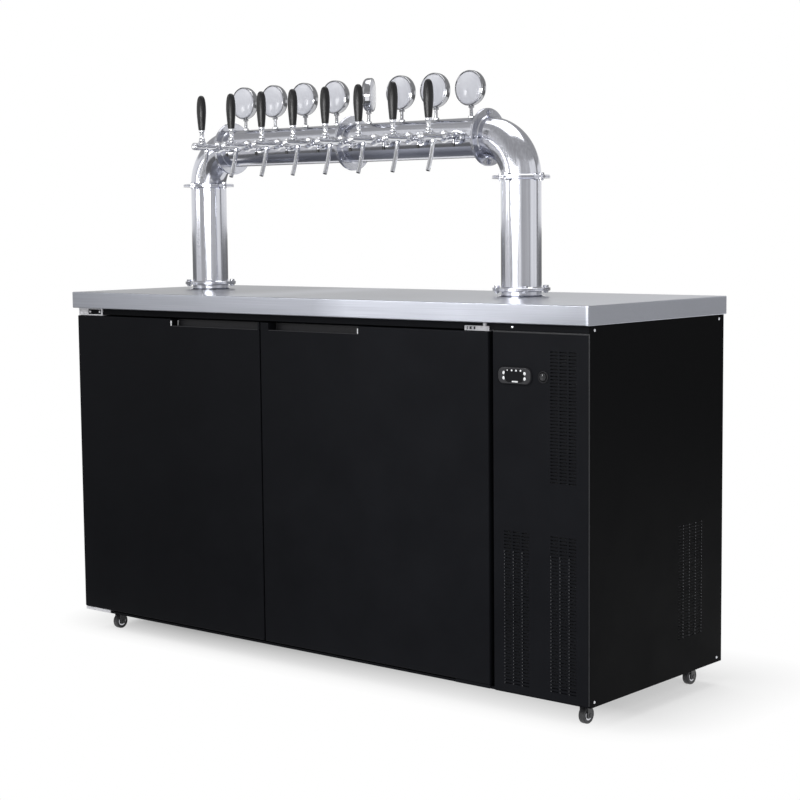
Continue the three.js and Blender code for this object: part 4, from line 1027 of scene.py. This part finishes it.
world = bpy.data.worlds.new("studio")
bpy.context.scene.world = world
world.use_nodes = True
studio = Graph(world.node_tree)
backdrop, plain = (studio.node("ShaderNodeBackground", {}, {"Color": (1, 1, 1, 1), "Strength": strength})
                   for strength in (1, 0.42))
shown = studio.node("ShaderNodeMixShader", {}, {0: studio.direct(), 1: plain, 2: backdrop})
studio.feed(shown, studio.tree.nodes["World Output"].inputs["Surface"])

# place, size in metres, watts
lamps = {"keyLamp": ((-2.6, -3.4, 3.6), 2.4, 120), "fillLamp": ((4.2, -1.6, 2.4), 2.0, 60),
         "topLamp": ((0.2, 0.6, 4.4), 3.0, 70)}
for name, (place, size, watts) in lamps.items():
    data = bpy.data.lights.new(name, "AREA")
    data.shape, data.size, data.energy = "SQUARE", size, watts
    light = bpy.data.objects.new(name, data)
    light.location = place
    aim = Vector((0, 0, 0.8)) - light.location
    light.rotation_euler = aim.to_track_quat("-Z", "Y").to_euler()
    bpy.context.scene.collection.objects.link(light)

shot = {"azimuth": 40.2227, "elevation": 5.654, "roll": -0.5605, "distance": 4.7659,
        "target": (0.077535, 0, 0.693668), "lens": 81.659}
# boards give the steel something to mirror, and only mirrored rays meet them. Each one is an arc
# round the set: two angles to the right of the camera's own direction, low, high, radius, shade
boards = {
    "rearBoard": (100, 255, -0.2, 1.12, 3.1, 0.2),
    "rearSky": (100, 255, 1.9, 5, 3.1, 0.4),
    "rightBoard": (88, 100, -0.2, 2.6, 3.2, 0.3),
    "rightStrip": (50, 88, -0.2, 2.6, 3.2, 1),
    "rightFront": (3, 50, -0.2, 2.6, 3.2, 0.5),
    "leftSky": (-105, -66, -0.2, 4.4, 3.4, 0.72),
    "leftFront": (-66, -13, -0.2, 2.6, 3.2, 0.5),
    "upperRing": (-66, 100, 2.6, 5, 3.2, 0.42),
    "frontLamp": (-38, -10, -0.2, 1.1, 1.6, 1.8),
    "gripLamp": (-46, -4, 1.2, 1.48, 1.6, 20),
    "softboxNear": (-79, -74, 1.22, 1.6, 3.1, 8),
    "softboxFar": (-93, -88, 1.2, 1.5, 3.1, 6),
}
# flat ones: two corners and the shade
flats = {"ceilingBoard": ((-3.2, -3.2, 5), (3.2, 3.2, 5), 0.45),
         "frontFloor": ((-2.6, -2.9, 0.02), (1.6, -0.45, 0.02), 0.16)}


def addBoard(name, bm, shade):
    glow = stageFinish(name + "Paint", (0, 0, 0))
    glow.set("Emission Color", (*[shade] * 3, 1))
    glow.set("Emission Strength", 1)
    sheet = addObject(name, bm, glow.material)
    sheet.visible_camera = sheet.visible_diffuse = sheet.visible_shadow = False


for name, (first, last, low, high, radius, shade) in boards.items():
    bm = bmesh.new()
    corners = [bm.verts.new((0, -radius, z)) for z in (low, high)]
    edge = bm.edges.new(corners)
    bmesh.ops.spin(bm, geom=corners + [edge], cent=(0, 0, 0), axis=upward, steps=24,
                   angle=math.radians(last - first))
    bmesh.ops.rotate(bm, cent=(0, 0, 0), verts=bm.verts,
                     matrix=Matrix.Rotation(math.radians(shot["azimuth"] + first), 3, "Z"))
    addBoard(name, bm, shade)
for name, (low, high, shade) in flats.items():
    size, middle = Vector(high) - Vector(low), (Vector(high) + Vector(low)) / 2
    bm = bmesh.new()
    bmesh.ops.create_grid(bm, x_segments=1, y_segments=1, size=0.5,
                          matrix=Matrix.Translation(middle) @ Matrix.Diagonal((size.x, size.y, 1, 1)))
    addBoard(name, bm, shade)

turn, lift, roll = (math.radians(shot[key]) for key in ("azimuth", "elevation", "roll"))
back = Vector((math.sin(turn) * math.cos(lift), -math.cos(turn) * math.cos(lift), math.sin(lift)))
right = (-back).cross(upward).normalized()
up = right.cross(-back)
right, up = right * math.cos(roll) + up * math.sin(roll), up * math.cos(roll) - right * math.sin(roll)
data = bpy.data.cameras.new("photoCamera")
data.lens, data.sensor_width = shot["lens"], 36
camera = bpy.data.objects.new("photoCamera", data)
basis = Matrix((right, up, back)).transposed().to_4x4()
camera.matrix_world = Matrix.Translation(Vector(shot["target"]) + back * shot["distance"]) @ basis
data.clip_start, data.clip_end = 0.05, 200
bpy.context.scene.collection.objects.link(camera)
bpy.context.scene.camera = camera
bpy.context.scene.view_settings.view_transform = "Standard"
print("stage ready")
